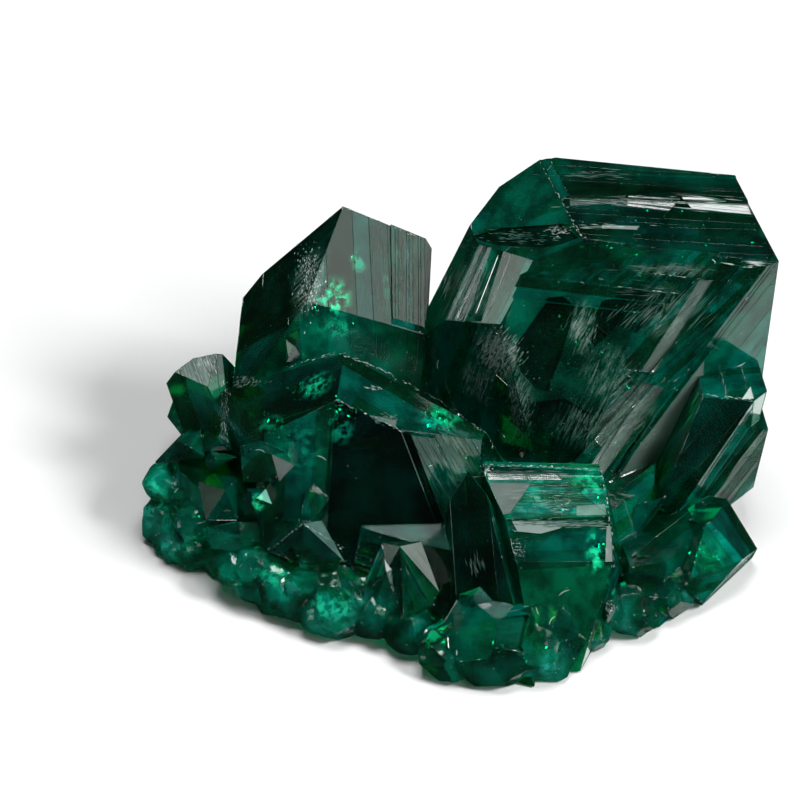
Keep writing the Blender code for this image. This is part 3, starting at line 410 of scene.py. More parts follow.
def merged_copy(node):
    """A CAD node's solid as a bmesh whose flat faces are whole again."""
    mesh = bmesh.new()
    mesh.from_mesh(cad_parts[node].data)
    bmesh.ops.remove_doubles(mesh, verts=mesh.verts[:], dist=1e-7)
    bmesh.ops.dissolve_limit(mesh, angle_limit=math.radians(0.3), verts=mesh.verts[:], edges=mesh.edges[:])
    return mesh


def cut_strips(mesh, facet, along, spacing, breaks, dice):
    """Cuts one face into strips along a direction, at uneven spacing, and some strips across on a slant."""
    normal = facet.normal.copy()
    across = normal.cross(along).normalized()
    places = [corner.co.dot(across) for corner in facet.verts]
    place, end = min(places), max(places)
    strips = {facet}
    place += dice.uniform(*spacing) * MM
    while place < end - SMALLEST_STRIP:
        touched = [strip for strip in strips
                   if min(v.co.dot(across) for v in strip.verts) < place < max(v.co.dot(across) for v in strip.verts)]
        geometry = {item for strip in touched for item in (strip, *strip.edges, *strip.verts)}
        cut = bmesh.ops.bisect_plane(
            mesh, geom=list(geometry), dist=1e-7, plane_co=across * place, plane_no=across)
        strips.update(item for item in cut["geom"] if isinstance(item, bmesh.types.BMFace))
        strips = {strip for strip in strips if strip.is_valid}
        place += dice.uniform(*spacing) * MM
    for strip in sorted(strips, key=lambda strip: strip.calc_center_median().dot(across)):
        reach = [corner.co.dot(along) for corner in strip.verts]
        for _ in range(dice.poisson(breaks)):
            slant = (along + dice.uniform(-0.9, 0.9) * across).normalized()
            middle = strip.calc_center_median()
            point = middle + along * (dice.uniform(min(reach), max(reach)) - middle.dot(along))
            cut = bmesh.ops.bisect_plane(
                mesh, geom=[strip, *strip.edges, *strip.verts], dist=1e-7, plane_co=point, plane_no=slant)
            strips.update(item for item in cut["geom"] if isinstance(item, bmesh.types.BMFace))
    return {strip for strip in strips if strip.is_valid}, across


def step_strips(mesh, strips, across, depth, tilt, tone, dice):
    """Sinks each strip a little inside its own rim and leans it, so that the strips stand as steps of growth."""
    for strip in sorted(strips, key=lambda strip: strip.calc_center_median().dot(across)):
        perimeter = sum(edge.calc_length() for edge in strip.edges)
        width = 2.0 * strip.calc_area() / perimeter
        sunk = dice.uniform(0.15, 1.0) * depth * MM
        lean = math.tan(math.radians(dice.uniform(-tilt, tilt)))
        strip[tone] = dice.uniform(0.0, 1.0)
        if width < SMALLEST_STRIP:
            continue
        normal = strip.normal.copy()
        centre = strip.calc_center_median().dot(across)
        bmesh.ops.inset_individual(
            mesh, faces=[strip], thickness=min(STEP_WALL, 0.2 * width), depth=0.0, use_even_offset=False)
        for corner in strip.verts:
            drop = sunk + lean * (corner.co.dot(across) - centre)
            corner.co -= max(drop, 0.1 * sunk) * normal


def level_off(mesh, face):
    """Brings the low terraces on a face level with it, where the photograph shows it plain."""
    mesh.faces.ensure_lookup_table()
    number, _ = facet_under(BVHTree.FromBMesh(mesh), face.across, face.up)
    normal, point = mesh.faces[number].normal.copy(), mesh.faces[number].verts[0].co.copy()
    for terrace in mesh.faces:
        if terrace.normal.dot(normal) > math.cos(math.radians(1.0)):
            for corner in terrace.verts:
                off = (corner.co - point).dot(normal)
                if abs(off) < TERRACE:
                    corner.co -= off * normal
    bmesh.ops.remove_doubles(mesh, verts=mesh.verts[:], dist=1e-6)
    bmesh.ops.dissolve_degenerate(mesh, dist=1e-6, edges=mesh.edges[:])
    bmesh.ops.dissolve_limit(mesh, angle_limit=math.radians(0.3), verts=mesh.verts[:], edges=mesh.edges[:])
    mesh.normal_update()


def on_plane(across, up, point, normal):
    """Where the view's line through a place meets a plane."""
    eye = in_view(across, up)
    return eye + (point - eye).dot(normal) / TOWARD_EYE.dot(normal) * TOWARD_EYE


def cut_facet(mesh, face, corners):
    """Cuts an outline, given in the view, out of one flat face. Returns the pieces inside it."""
    normal, point = face.normal.copy(), face.verts[0].co.copy()
    ring = [on_plane(across, up, point, normal) for across, up in corners]
    middle = sum(ring, Vector()) / len(ring)
    inside = [face]
    for start, stop in zip(ring, ring[1:] + ring[:1]):
        outward = (stop - start).cross(normal).normalized()
        if outward.dot(middle - start) > 0.0:
            outward = -outward
        halves = []
        for piece in inside:
            off = [(corner.co - start).dot(outward) for corner in piece.verts]
            if min(off) > -1e-7:
                continue
            if max(off) < 1e-7:
                halves.append(piece)
                continue
            cut = bmesh.ops.bisect_plane(mesh, geom=[piece, *piece.edges, *piece.verts], dist=1e-7, plane_co=start,
                                         plane_no=outward)
            for half in cut["geom"]:
                if isinstance(half, bmesh.types.BMFace):
                    furthest = max(((corner.co - start).dot(outward) for corner in half.verts), key=abs)
                    if furthest < 0.0:
                        halves.append(half)
        inside = halves
    return [piece for piece in inside if piece.is_valid]


def lean_facet(mesh, facet, sunk, toward):
    """Sinks a facet inside its own rim, and leans it to mirror a light to the eye."""
    normal = facet.normal.copy()
    wanted = (TOWARD_EYE + Vector(toward).normalized()).normalized() if toward else normal
    width = 2.0 * facet.calc_area() / sum(edge.calc_length() for edge in facet.edges)
    bmesh.ops.inset_individual(mesh, faces=[facet], thickness=min(STEP_WALL, 0.15 * width), depth=0.0,
                               use_even_offset=False)
    heights = [corner.co.dot(wanted) / normal.dot(wanted) for corner in facet.verts]
    for corner, height in zip(facet.verts, heights):
        corner.co -= min(DEEPEST_FACET, sunk * MM + height - min(heights)) * normal


def is_crust(facet):
    """Whether a facet of the CAD solid belongs to the broken crust round the foot."""
    middle = facet.calc_center_median()
    top = LEFT_CRUST_TOP if middle.x < LEFT_CRUST_ACROSS else CRUST_TOP
    low = middle.z < top and middle.y < CRUST_BACK and facet.normal.z > -0.99
    return low and facet.calc_area() < CRUST_FACET * MM ** 2


def crumble_crust(mesh, crust, milk, chalk, tone):
    """Rounds the crust's lumps and roughens them, and makes them paler where they are most cracked."""
    for edge in mesh.edges:
        if all(face[crust] for face in edge.link_faces) and edge.calc_face_angle(0.0) > CRISP:
            edge.smooth = False
    for _ in range(4):
        whole = [face for face in mesh.faces if face[crust] and len(face.verts) > 3]
        bmesh.ops.triangulate(mesh, faces=whole)
        long_edges = [edge for edge in mesh.edges
                      if edge.calc_length() > CRUST_GRAIN and all(face[crust] for face in edge.link_faces)]
        bmesh.ops.subdivide_edges(mesh, edges=long_edges, cuts=1)
    bmesh.ops.triangulate(mesh, faces=[face for face in mesh.faces if face[crust] and len(face.verts) > 3])
    inner = [corner for corner in mesh.verts if all(face[crust] for face in corner.link_faces)]
    bmesh.ops.smooth_vert(mesh, verts=inner, factor=0.3, use_axis_x=True, use_axis_y=True, use_axis_z=True)
    mesh.normal_update()
    for corner in inner:
        swell = sum(height * noise.noise(corner.co / length) for length, height in CRUST_WAVES)
        corner.co += swell * corner.normal
    mesh.normal_update()
    for face in mesh.faces:
        if not face[crust]:
            continue
        middle = (face.calc_center_median() - VIEW_CENTRE) / MM
        across, up = middle.dot(VIEW_RIGHT), middle.dot(VIEW_UP)
        pale = sum(strength * math.exp(-((across - a) ** 2 + (up - u) ** 2) / reach ** 2)
                   for a, u, reach, strength in PALE_PLACES)
        face[chalk] = min(1.0, pale)
        face.smooth = across > CRUMBLY_UP_TO
        left = max(0.0, min(1.0, (-3.0 - across) / 8.0))
        face[milk] = min(0.9, face[milk] * (1.0 + 2.2 * left) + 0.22 * pale)
        face[tone] = 0.5 + 0.5 * noise.noise(face.calc_center_median() / (1.1 * MM))


def keep_in_box(data):
    """Holds every corner inside the CAD solid's own box."""
    points = np.empty(len(data.vertices) * 3)
    data.vertices.foreach_get("co", points)
    low, high = (np.array(corner) for corner in CAD_BOX)
    data.vertices.foreach_set("co", np.clip(points.reshape(-1, 3), low, high).ravel())
    data.update()


def splinters(centres, directions, normals, lengths, widths, heights, tones, name):
    """Small closed splinters in one mesh. Each has two ends and two sides in a plane, and a top and a keel.

    A splinter's corners are its centre plus or minus half its length along its direction, half its width across
    it, and its height along its normal.
    """
    centres, directions, normals = (np.asarray(rows, float) for rows in (centres, directions, normals))
    normals = normals / np.linalg.norm(normals, axis=1, keepdims=True)
    directions = directions - normals * (directions * normals).sum(1, keepdims=True)
    directions = directions / np.linalg.norm(directions, axis=1, keepdims=True)
    sideways = np.cross(normals, directions)
    reach = 0.5 * np.asarray(lengths)[:, None] * directions
    half = 0.5 * np.asarray(widths)[:, None] * sideways
    rise = np.asarray(heights)[:, None] * normals
    corners = np.stack([centres + reach, centres + half, centres - reach, centres - half,
                        centres + rise, centres - rise], axis=1)
    low, high = (np.array(corner) for corner in CAD_BOX)
    corners = np.clip(corners, low, high)
    ring = np.array([(0, 1), (1, 2), (2, 3), (3, 0)])
    upper = np.column_stack([ring, np.full(4, 4)])
    lower = np.column_stack([ring[:, ::-1], np.full(4, 5)])
    one = np.concatenate([upper, lower])
    faces = (one[None] + 6 * np.arange(len(centres))[:, None, None]).reshape(-1, 3)
    data = bpy.data.meshes.new(name)
    data.from_pydata(corners.reshape(-1, 3).tolist(), [], faces.tolist())
    tone = data.attributes.new("tone", "FLOAT", "FACE")
    tone.data.foreach_set("value", np.repeat(tones, len(one)).astype(np.float32))
    piece = bpy.data.objects.new(name, data)
    bpy.context.scene.collection.objects.link(piece)
    return piece


def on_surface(tree, across, up):
    """The point and the normal of the specimen that the photograph's view shows at a place."""
    point, normal, number, distance = tree.ray_cast(in_view(across, up, 100.0), -TOWARD_EYE)
    return point, normal


def view_direction(lines):
    return lines[0] * VIEW_RIGHT + lines[1] * VIEW_UP


def pale_splinters(tree, mesh_edges, dice):
    """Strokes on the steps, chips along the edges, and dust: everything pale that lies on the faces. The strokes and
    the edge lines are partly painted highlights.
    """
    rows = []
    for patch in STROKES.values():
        for _ in range(patch.count):
            a, u = dice.normal(0.0, 0.5, 2)
            point, normal = on_surface(tree, patch.across + patch.wide * a, patch.up + patch.high * u)
            if point is None:
                continue
            turn = dice.normal(0.0, 0.05)
            flat = view_direction((patch.lines[0] - turn * patch.lines[1], patch.lines[1] + turn * patch.lines[0]))
            along = (flat - TOWARD_EYE * flat.dot(normal) / max(0.15, TOWARD_EYE.dot(normal))).normalized()
            length = dice.uniform(*patch.length)
            ends = (point + 0.5 * side * length * MM * along for side in (-1.0, 1.0))
            lies = all(tree.find_nearest(end, STROKE_LIFT)[0] is not None for end in ends)
            width, tone = dice.uniform(*patch.width), dice.uniform(*patch.tone)
            if lies:
                rows.append((point, along, normal, length, width, 0.006, tone))
    for ends in CHIPPED_EDGES.values():
        for start, stop in zip(ends, ends[1:]):
            run = math.dist(start, stop)
            for place in np.arange(0.0, 1.0, 0.10 / run):
                if dice.random() < 0.35:
                    continue
                a, u = (s + place * (e - s) + dice.normal(0.0, 0.05) for s, e in zip(start, stop))
                point, normal = on_surface(tree, a, u)
                if point is None:
                    continue
                rows.append((point, view_direction((stop[0] - start[0], stop[1] - start[1])), normal,
                             dice.uniform(0.08, 0.35), dice.uniform(0.03, 0.08), 0.015, dice.uniform(0.2, 1.0)))
    edges, weights = mesh_edges
    for number in dice.choice(len(edges), EDGE_CHIPS, p=weights):
        start, stop, normal = edges[number]
        rows.append((start.lerp(stop, dice.random()), stop - start, normal, dice.uniform(0.05, 0.30),
                     dice.uniform(0.02, 0.06), 0.012, dice.uniform(0.1, 0.8)))
    while len(rows) and len([row for row in rows if row[5] == 0.02]) < SPECKS:
        point, normal = on_surface(tree, dice.uniform(-17.0, 25.0), dice.uniform(-19.0, 16.0))
        if point is not None:
            size = dice.uniform(0.02, 0.06)
            rows.append((point, Vector(dice.normal(size=3)), normal, size, size, 0.02, dice.uniform(0.5, 1.0)))
    return rows


def crystal_edges(solid):
    """The sharp outward edges of the CAD solid, with a normal for each and how likely a chip on it is."""
    edges = []
    for edge in solid.edges:
        if len(edge.link_faces) == 2 and edge.is_convex and edge.calc_face_angle(0.0) > math.radians(25.0):
            normal = edge.link_faces[0].normal + edge.link_faces[1].normal
            edges.append((edge.verts[0].co.copy(), edge.verts[1].co.copy(), normal))
    lengths = np.array([(stop - start).length for start, stop, _ in edges])
    return edges, lengths / lengths.sum()


def inner_cracks(tree, dice):
    """Flat cracks inside the crystals, turned about halfway between the eye and a light, so that many glitter."""
    rows = []
    for across, up, wide, high, depths, count in INNER_CRACKS.values():
        for _ in range(count):
            a, u = dice.normal(0.0, 0.55, 2)
            point, normal = on_surface(tree, across + wide * a, up + high * u)
            if point is None:
                continue
            depth = dice.uniform(*depths) * MM
            inside = point - depth * normal
            under, _, _, behind = tree.ray_cast(inside, -normal)
            beside, _, _, left = tree.ray_cast(inside, VIEW_RIGHT)
            if under is None or beside is None or behind < 0.3 * MM or left < 0.2 * MM:
                continue
            mirror = (TOWARD_EYE + Vector(GLITTER_LIGHTS[dice.integers(len(GLITTER_LIGHTS))]).normalized())
            facing = mirror.normalized() + 0.22 * Vector(dice.normal(size=3))
            size = dice.uniform(0.06, 0.34)
            rows.append((inside, Vector(dice.normal(size=3)), facing, size, size * dice.uniform(0.4, 1.0),
                         0.004, dice.uniform(0.3, 1.0)))
    return rows


def dust_fibres(tree, dice):
    """Short bent hairs that lie on the faces. Each is a tube of five sides round an arc, drawn to a point at its ends."""
    steps, sides = 9, 5
    corners, faces = [], []
    for across, up in FIBRES:
        heading, bend, reach = dice.uniform(0.0, math.pi), dice.uniform(-1.5, 1.5), dice.uniform(0.5, 1.1)
        first = len(corners)
        for step in range(steps):
            along = step / (steps - 1)
            angle = heading + bend * along
            across += reach / steps * math.cos(angle)
            up += reach / steps * math.sin(angle)
            point, normal = on_surface(tree, across, up)
            if point is None:
                break
            point = point + FIBRE_WIDTH * normal
            thick = 0.5 * FIBRE_WIDTH * max(0.05, math.sin(math.pi * along) ** 0.3)
            side = normal.cross(view_direction((math.cos(angle), math.sin(angle)))).normalized()
            for turn in range(sides):
                angle_round = 2.0 * math.pi * turn / sides
                corners.append(point + thick * (math.cos(angle_round) * side + math.sin(angle_round) * normal))
        rings = (len(corners) - first) // sides
        for ring in range(rings - 1):
            for turn in range(sides):
                low = first + ring * sides + turn
                after = first + ring * sides + (turn + 1) % sides
                faces.append((low, low + sides, after + sides, after))
        if rings > 1:
            faces.append(tuple(first + turn for turn in range(sides)))
            faces.append(tuple(first + (rings - 1) * sides + turn for turn in reversed(range(sides))))
    data = bpy.data.meshes.new("dust_fibres")
    data.from_pydata([tuple(corner) for corner in corners], [], faces)
    piece = bpy.data.objects.new("dust_fibres", data)
    bpy.context.scene.collection.objects.link(piece)
    return piece


def dressed_cluster():
    """The cluster with growth steps and facets cut into its faces, and its crust crumbled."""
    dice = np.random.default_rng(SEED)
    mesh = merged_copy("dioptase_cluster")
    for name in PLAIN_FACES:
        level_off(mesh, FACES[name])
    milk = mesh.faces.layers.float.new("milk")
    frost = mesh.faces.layers.float.new("frost")
    tone = mesh.faces.layers.float.new("tone")
    lines = mesh.faces.layers.float_vector.new("lines")
    chalk = mesh.faces.layers.float.new("chalk")
    grey = mesh.faces.layers.float.new("grey")
    origin = mesh.faces.layers.int.new("origin")
    cut = mesh.faces.layers.int.new("cut")
    crust = mesh.faces.layers.int.new("crust")
    mesh.faces.ensure_lookup_table()
    tree = BVHTree.FromBMesh(mesh)
    finishes = {}
    for name, face in FACES.items():
        number, point = facet_under(tree, face.across, face.up)
        if number is None:
            raise ValueError(f"no face under {name}")
        finishes[number] = face
    for number, face in list(finishes.items()):
        named = mesh.faces[number]
        for facet in mesh.faces:
            off = abs((facet.calc_center_median() - named.calc_center_median()).dot(named.normal))
            if facet.normal.dot(named.normal) > math.cos(math.radians(1.0)) and off < SAME_FACE:
                finishes.setdefault(facet.index, face)
    plan = []
    for facet in mesh.faces:
        size = facet.calc_area() / MM ** 2
        facet[tone] = dice.uniform(0.0, 1.0)
        face = finishes.get(facet.index)
        longest = max(facet.edges, key=lambda edge: edge.calc_length())
        along = (longest.verts[0].co - longest.verts[1].co).normalized()
        flat_base = facet.normal.z < -0.99
        if face is None and is_crust(facet):
            facet[crust] = 1
            facet[milk] = CRUST_MILK * dice.uniform(0.5, 1.1)
            facet[frost] = 0.05
        elif face is None:
            facet[milk] = dice.uniform(0.04, 0.16)
            facet[frost] = 0.02
            if size > 1.5 and not flat_base:
                wide = (0.5, 1.8) if size > 6.0 else (0.3, 0.9)
                plan.append((facet, along, wide, 0.045, 1.2, 0.3))
        else:
            facet[milk] = face.milk
            facet[frost] = face.frost
            facet[grey] = face.grey
            if face.lines:
                along = run_in_face(face.lines, facet.normal)
                if face.spacing:
                    plan.append((facet, along, face.spacing, face.depth, face.tilt, face.breaks))
        facet[lines] = along
        facet[origin] = facet.index
    steps = {facet.index: how for facet, *how in plan}
    levels = [(facet.normal.copy(), facet.calc_center_median()) for facet in mesh.faces]
    for wanted in FACETS.values():
        middle = np.mean(wanted.corners, axis=0)
        under, _ = facet_under(tree, *middle)
        normal, centre = levels[under]
        level = {index for index, (other, place) in enumerate(levels)
                 if other.dot(normal) > math.cos(math.radians(1.0)) and abs((place - centre).dot(normal)) < SAME_FACE}
        for face in [face for face in mesh.faces if face[origin] in level and not face[cut]]:
            for piece in cut_facet(mesh, face, wanted.corners):
                if piece.calc_area() < SMALLEST_FACET * MM ** 2:
                    continue
                piece[cut], piece[milk], piece[grey], piece[frost] = 1, wanted.milk, wanted.grey, wanted.frost
                piece[tone] = 0.5
                lean_facet(mesh, piece, wanted.sunk, wanted.toward)
                if wanted.lines:
                    along = run_in_face(wanted.lines, piece.normal)
                    strips, across = cut_strips(mesh, piece, along, FACET_STRIPS, 0.0, dice)
                    step_strips(mesh, strips, across, FACET_STEP, wanted.tilt, tone, dice)
    mesh.normal_update()
    for facet in [facet for facet in mesh.faces if facet[origin] in steps and not facet[cut]]:
        along, spacing, depth, tilt, breaks = steps[facet[origin]]
        strips, across = cut_strips(mesh, facet, along, spacing, breaks, dice)
        step_strips(mesh, strips, across, depth, tilt, tone, dice)
    crumble_crust(mesh, crust, milk, chalk, tone)
    data = bpy.data.meshes.new("dioptase_crystals")
    bmesh.ops.triangulate(mesh, faces=[f for f in mesh.faces if len(f.verts) > 4])
    mesh.to_mesh(data)
    mesh.free()
    keep_in_box(data)
    face_lines(data)
    piece = bpy.data.objects.new("dioptase_crystals", data)
    bpy.context.scene.collection.objects.link(piece)
    return piece


def face_lines(data):
    """UVs in millimetres: along each face's striations, and across them."""
    count = len(data.loops)
    points = np.empty(len(data.vertices) * 3)
    data.vertices.foreach_get("co", points)
    points = points.reshape(-1, 3)
    corner = np.empty(count, int)
    data.loops.foreach_get("vertex_index", corner)
    totals = np.empty(len(data.polygons), int)
    data.polygons.foreach_get("loop_total", totals)
    normals = np.empty(len(data.polygons) * 3)
    data.polygons.foreach_get("normal", normals)
    along = np.empty(len(data.polygons) * 3)
    data.attributes["lines"].data.foreach_get("vector", along)
    along = np.repeat(along.reshape(-1, 3), totals, axis=0)
    across = np.cross(np.repeat(normals.reshape(-1, 3), totals, axis=0), along)
    place = points[corner] / MM
    flat = np.stack([(place * along).sum(1), (place * across).sum(1)], axis=1)
    data.uv_layers.new(name="striations").data.foreach_set("uv", flat.ravel())


def cover(tree, place, skin, patches):
    """How far a group of places covers a point: each one's strength in its middle, fading to nothing at its rim."""
    total = None
    for patch in patches.values():
        point, normal = on_surface(skin, patch.across, patch.up)
        along = run_in_face((1.0, 0.0), normal)
        beside = normal.cross(along)
        turn = Matrix((along, beside, normal)).transposed().to_euler()
        sizes = (patch.wide / along.dot(VIEW_RIGHT), patch.high / max(0.3, beside.dot(VIEW_UP)), PATCH_DEPTH)
        inside = add(tree, "ShaderNodeMapping", {"vector_type": "TEXTURE"}, Vector=place, Location=point,
                     Rotation=turn, Scale=MM * Vector(sizes))
        away = add(tree, "ShaderNodeVectorMath", {"operation": "LENGTH"}, i0=inside.outputs[0])
        fading = add(tree, "ShaderNodeMapRange", {"interpolation_type": "SMOOTHSTEP"}, Value=away.outputs["Value"],
                     i1=0.3, i2=1.0, i3=patch.strength, i4=0.0)
        total = fading if total is None else add(
            tree, "ShaderNodeMath", {"operation": "MAXIMUM"}, i0=total.outputs[0], i1=fading.outputs[0])
    return total


def masked(tree, pattern, low, high, mask):
    """A pattern raised from low to high, where a mask lets it through."""
    raised = add(tree, "ShaderNodeMapRange", Value=pattern, i1=low, i2=high)
    through = mask.outputs["Fac"] if "Fac" in mask.outputs else mask.outputs[0]
    return add(tree, "ShaderNodeMath", {"operation": "MULTIPLY"}, i0=raised.outputs[0], i1=through)


def dioptase_material(skin):
    """Dioptase as it grows: glassy, striated faces, with cracks close under the skin that show as milky green, a
    painted glow of bright green where light shines through, and pale grey painted as reflections of the lights.
    """
    material = bpy.data.materials.new("dioptase crystal")
    material.use_nodes = True
    tree = material.node_tree
    tree.nodes.clear()
    place = add(tree, "ShaderNodeTexCoord")
    lines = add(tree, "ShaderNodeUVMap", {"uv_map": "striations"})
    milk = add(tree, "ShaderNodeAttribute", {"attribute_name": "milk"})
    tone = add(tree, "ShaderNodeAttribute", {"attribute_name": "tone"})
    frost = add(tree, "ShaderNodeAttribute", {"attribute_name": "frost"})
    # Fine striations: noise drawn out along the face's lines, 0.15 mm and 0.6 mm across.
    stretched = add(tree, "ShaderNodeMapping", i0=lines.outputs[0], Scale=(0.12, 3.0, 1.0))
    fine = add(tree, "ShaderNodeTexNoise", Vector=stretched.outputs[0], Scale=2.2, Detail=3.0, Roughness=0.6)
    # Cloudy patches of cracks, 2 mm across, with crumbs of 0.3 mm.
    cloud = add(tree, "ShaderNodeTexNoise", Vector=place.outputs["Object"], Scale=420.0, Detail=5.0, Roughness=0.65)
    patch = add(tree, "ShaderNodeMapRange", Value=cloud.outputs[0], i1=0.42, i2=0.62, i3=0.55, i4=1.7)
    grey = add(tree, "ShaderNodeAttribute", {"attribute_name": "grey"})
    evened = add(tree, "ShaderNodeMix", Factor=grey.outputs["Fac"], A=patch.outputs[0], B=1.0)
    varied = add(tree, "ShaderNodeMath", {"operation": "MULTIPLY"}, i0=milk.outputs["Fac"], i1=evened.outputs[0])
    tones = add(tree, "ShaderNodeMapRange", Value=tone.outputs["Fac"], i3=0.6, i4=1.4)
    cracked = add(tree, "ShaderNodeMath", {"operation": "MULTIPLY"}, i0=varied.outputs[0], i1=tones.outputs[0])
    # Etching draws feathered strokes of 0.2 mm by 1.5 mm, and a painted glow fills crumbs of a face with bright
    # green, painted as light shining through the crystal over milky cracks.
    drawn = add(tree, "ShaderNodeMapping", i0=lines.outputs[0], Scale=(0.7, 5.0, 1.0))
    feathers = add(tree, "ShaderNodeTexNoise", Vector=drawn.outputs[0], Scale=1.0, Detail=3.0, Roughness=0.6,
                   Distortion=0.4)
    etched = masked(tree, feathers.outputs[0], 0.46, 0.62, cover(tree, place.outputs["Object"], skin, ETCHINGS))
    crumbs = add(tree, "ShaderNodeTexNoise", Vector=place.outputs["Object"], Scale=1700.0, Detail=2.0)
    glow = masked(tree, crumbs.outputs[0], 0.44, 0.60, cover(tree, place.outputs["Object"], skin, PAINTED_GLOWS))
    with_etching = add(tree, "ShaderNodeMath", {"operation": "MULTIPLY_ADD"}, i0=etched.outputs[0], i1=0.40,
                       i2=cracked.outputs[0])
    amount = add(tree, "ShaderNodeMath", {"operation": "MULTIPLY_ADD"}, i0=glow.outputs[0], i1=0.75,
                 i2=with_etching.outputs[0])
    clear = add(tree, "ShaderNodeMath", {"operation": "SUBTRACT", "use_clamp": True}, i0=1.0, i1=amount.outputs[0])
    rough = add(tree, "ShaderNodeMapRange", Value=fine.outputs[0], i1=0.3, i2=0.8, i3=0.01, i4=0.14)
    frosted = add(tree, "ShaderNodeMath", {"operation": "ADD"}, i0=rough.outputs[0], i1=frost.outputs["Fac"])
    bump = add(tree, "ShaderNodeBump", Strength=0.35, Distance=0.02 * MM, Height=fine.outputs[0])
    chalk = add(tree, "ShaderNodeAttribute", {"attribute_name": "chalk"})
    speckled = masked(tree, crumbs.outputs[0], 0.40, 0.62, chalk)
    hue = add(tree, "ShaderNodeMix", {"data_type": "RGBA"}, Factor=tone.outputs["Fac"],
              i6=linear("#00a468"), i7=linear("#00b49c"))
    body = add(tree, "ShaderNodeMix", {"data_type": "RGBA"}, Factor=speckled.outputs[0],
               i6=hue.outputs[2], i7=linear("#30d0bc"))
    # Painted glow: the body colour turned bright green where light shines through the crystal.
    with_painted_glow = add(tree, "ShaderNodeMix", {"data_type": "RGBA"}, Factor=glow.outputs[0], i6=body.outputs[2],
              i7=linear("#20f0a8"))
    # Pale grey: a painted reflection where the grey attribute is set, and the paleness of etching under the feathered
    # strokes.
    reflection_and_etching_paleness = add(tree, "ShaderNodeMath", {"operation": "MAXIMUM"}, i0=grey.outputs["Fac"], i1=etched.outputs[0])
    faced = add(tree, "ShaderNodeMix", {"data_type": "RGBA"}, Factor=reflection_and_etching_paleness.outputs[0], i6=with_painted_glow.outputs[2],
                i7=linear("#c4d2cd"))
    shader = add(tree, "ShaderNodeBsdfPrincipled", Base_Color=faced.outputs[2], Roughness=frosted.outputs[0],
                 IOR=DIOPTASE_IOR, Transmission_Weight=clear.outputs[0], Normal=bump.outputs[0])
    most = max(ABSORBED_PER_MM)
    colour = [1.0 - share / most for share in ABSORBED_PER_MM]
    volume = add(tree, "ShaderNodeVolumeAbsorption", Color=(*colour, 1.0), Density=most / MM)
    add(tree, "ShaderNodeOutputMaterial", Surface=shader.outputs[0], Volume=volume.outputs[0])
    return material


def plain_material(name, dark, pale, roughness, metallic=0.0):
    """A finish whose colour runs from dark to pale with each splinter's own tone."""
    material = bpy.data.materials.new(name)
    material.use_nodes = True
    tree = material.node_tree
    shader = tree.nodes["Principled BSDF"]
    tone = add(tree, "ShaderNodeAttribute", {"attribute_name": "tone"})
    even = add(tree, "ShaderNodeMath", {"operation": "POWER"}, i0=tone.outputs["Fac"], i1=2.2)
    colour = add(tree, "ShaderNodeMix", {"data_type": "RGBA"}, Factor=even.outputs[0],
                 i6=linear(dark), i7=linear(pale))
    tree.links.new(colour.outputs[2], shader.inputs["Base Color"])
    shader.inputs["Roughness"].default_value = roughness
    shader.inputs["Metallic"].default_value = metallic
    return material


def softbox(name, toward, distance, size, radiance, colour="#ffffff"):
    """A rectangular area light that shines on the specimen from a direction, with the radiance of its face."""
    light = bpy.data.lights.new(name, "AREA")
    light.shape = "RECTANGLE"
    light.size, light.size_y = size
    light.energy = 4.0 * size[0] * size[1] * radiance
    light.color = linear(colour)[:3]
    holder = bpy.data.objects.new(name, light)
    holder.visible_camera = False
    away = Vector(toward).normalized()
    holder.location = VIEW_CENTRE + distance * away
    holder.rotation_euler = away.to_track_quat("Z", "Y").to_euler()
    bpy.context.scene.collection.objects.link(holder)
    return holder


def studio_floor():
    half = 1.5
    mesh = bpy.data.meshes.new("studio floor")
    mesh.from_pydata([(-half, -half, 0), (half, -half, 0), (half, half, 0), (-half, half, 0)], [], [(0, 1, 2, 3)])
    paper = bpy.data.objects.new("studio_floor", mesh)
    bpy.context.scene.collection.objects.link(paper)
    material = bpy.data.materials.new("white studio paper")
    material.use_nodes = True
    shader = material.node_tree.nodes["Principled BSDF"]
    shader.inputs["Base Color"].default_value = (0.92, 0.92, 0.925, 1.0)
    shader.inputs["Roughness"].default_value = 0.9
    mesh.materials.append(material)
    # As in the photograph, the white round the specimen is seen past it, and isn't mirrored in its faces.
    paper.visible_glossy = False
    paper.visible_transmission = False


def studio_world():
    light = bpy.data.worlds.new("studio")
    light.use_nodes = True
    background = light.node_tree.nodes["Background"]
    background.inputs["Color"].default_value = (0.9, 0.95, 1.0, 1.0)
    background.inputs["Strength"].default_value = 0.015
    bpy.context.scene.world = light


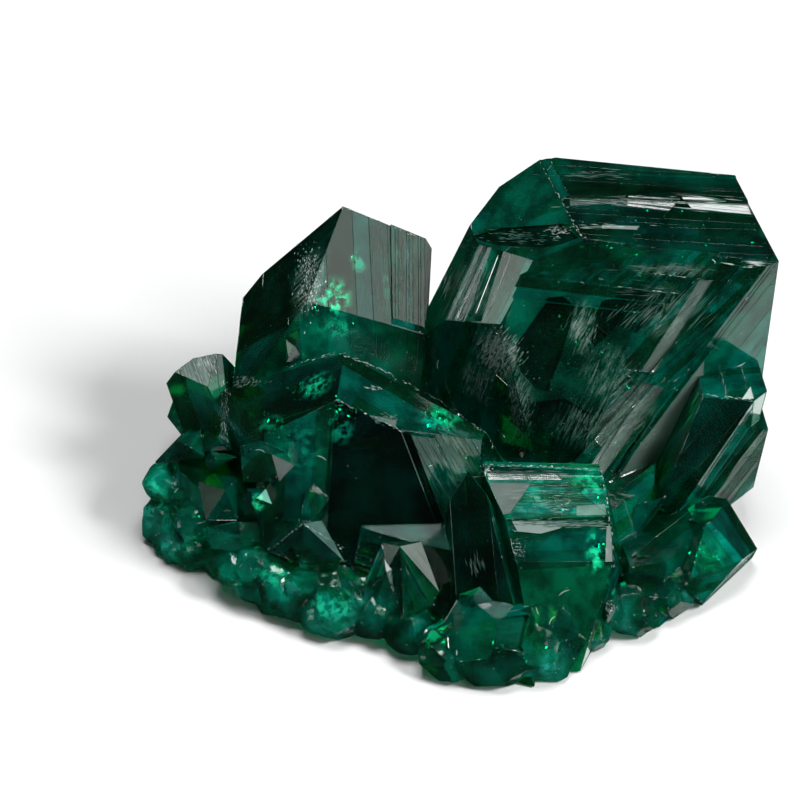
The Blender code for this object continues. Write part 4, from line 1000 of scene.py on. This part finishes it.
def photograph_camera():
    lens = bpy.data.cameras.new("photograph view")
    lens.sensor_width = SENSOR
    lens.lens = SENSOR * VIEW_DISTANCE / VIEW_WIDTH
    lens.clip_end = 10.0
    eye = bpy.data.objects.new("camera", lens)
    eye.location = VIEW_CENTRE + VIEW_DISTANCE * TOWARD_EYE
    eye.rotation_euler = TOWARD_EYE.to_track_quat("Z", "Y").to_euler()
    bpy.context.scene.collection.objects.link(eye)
    bpy.context.scene.camera = eye


bpy.context.scene.view_settings.view_transform = "Standard"
photograph_camera()
studio_floor()
studio_world()
softbox("grey facet softbox", GREY_LIGHT, 0.6, (0.30, 0.30), 1.25)
softbox("key light", KEY_LIGHT, 0.6, (0.16, 0.16), 30.0)
softbox("overhead softbox", OVERHEAD, 0.6, (0.30, 0.30), 6.0)
softbox("low left card", (-0.98, -0.14, 0.14), 0.4, (0.11, 0.08), 1.4)
softbox("low right card", (0.57, -0.13, -0.81), 0.3, (0.14, 0.14), 0.75)
softbox("low back card", (0.37, 0.48, -0.79), 0.3, (0.10, 0.10), 1.2)
softbox("low front card", (0.68, -0.68, 0.27), 0.4, (0.12, 0.10), 0.7)

def make_pieces():
    """The crystals, and what lies on them and in them. Returns each piece with its finish."""
    dice = np.random.default_rng(SEED + 1)
    cluster = dressed_cluster()
    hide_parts("dioptase_cluster")
    skin = bmesh.new()
    skin.from_mesh(cluster.data)
    tree = BVHTree.FromBMesh(skin)
    skin.free()
    yield cluster, dioptase_material(tree)
    solid = merged_copy("dioptase_cluster")
    marks = pale_splinters(tree, crystal_edges(solid), dice)
    solid.free()
    # Finish of the pale splinters: etching, chips and dust, with painted highlights where strokes and edge lines
    # stand for light caught on steps and edges.
    yield make_splinters(marks, "pale_splinters"), plain_material(
        "chipped and etched dioptase", "#0c4a3c", "#dbe6e2", 0.4)
    yield make_splinters(inner_cracks(tree, dice), "inner_cracks"), plain_material(
        "crack inside the crystal", "#66e0b0", "#f0fff8", 0.15, metallic=1.0)
    yield dust_fibres(tree, dice), plain_material("white dust", "#e8ebe9", "#f4f5f4", 0.8)


def make_splinters(rows, name):
    """Splinters from rows of centre, direction, normal, length, width, height and tone, sizes in millimetres."""
    centres, directions, normals, lengths, widths, heights, tones = zip(*rows)
    sizes = (MM * np.array(values) for values in (lengths, widths, heights))
    return splinters(centres, directions, normals, *sizes, tones, name)


for piece, finish in make_pieces():
    piece.data.materials.append(finish)
    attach(piece, "root")
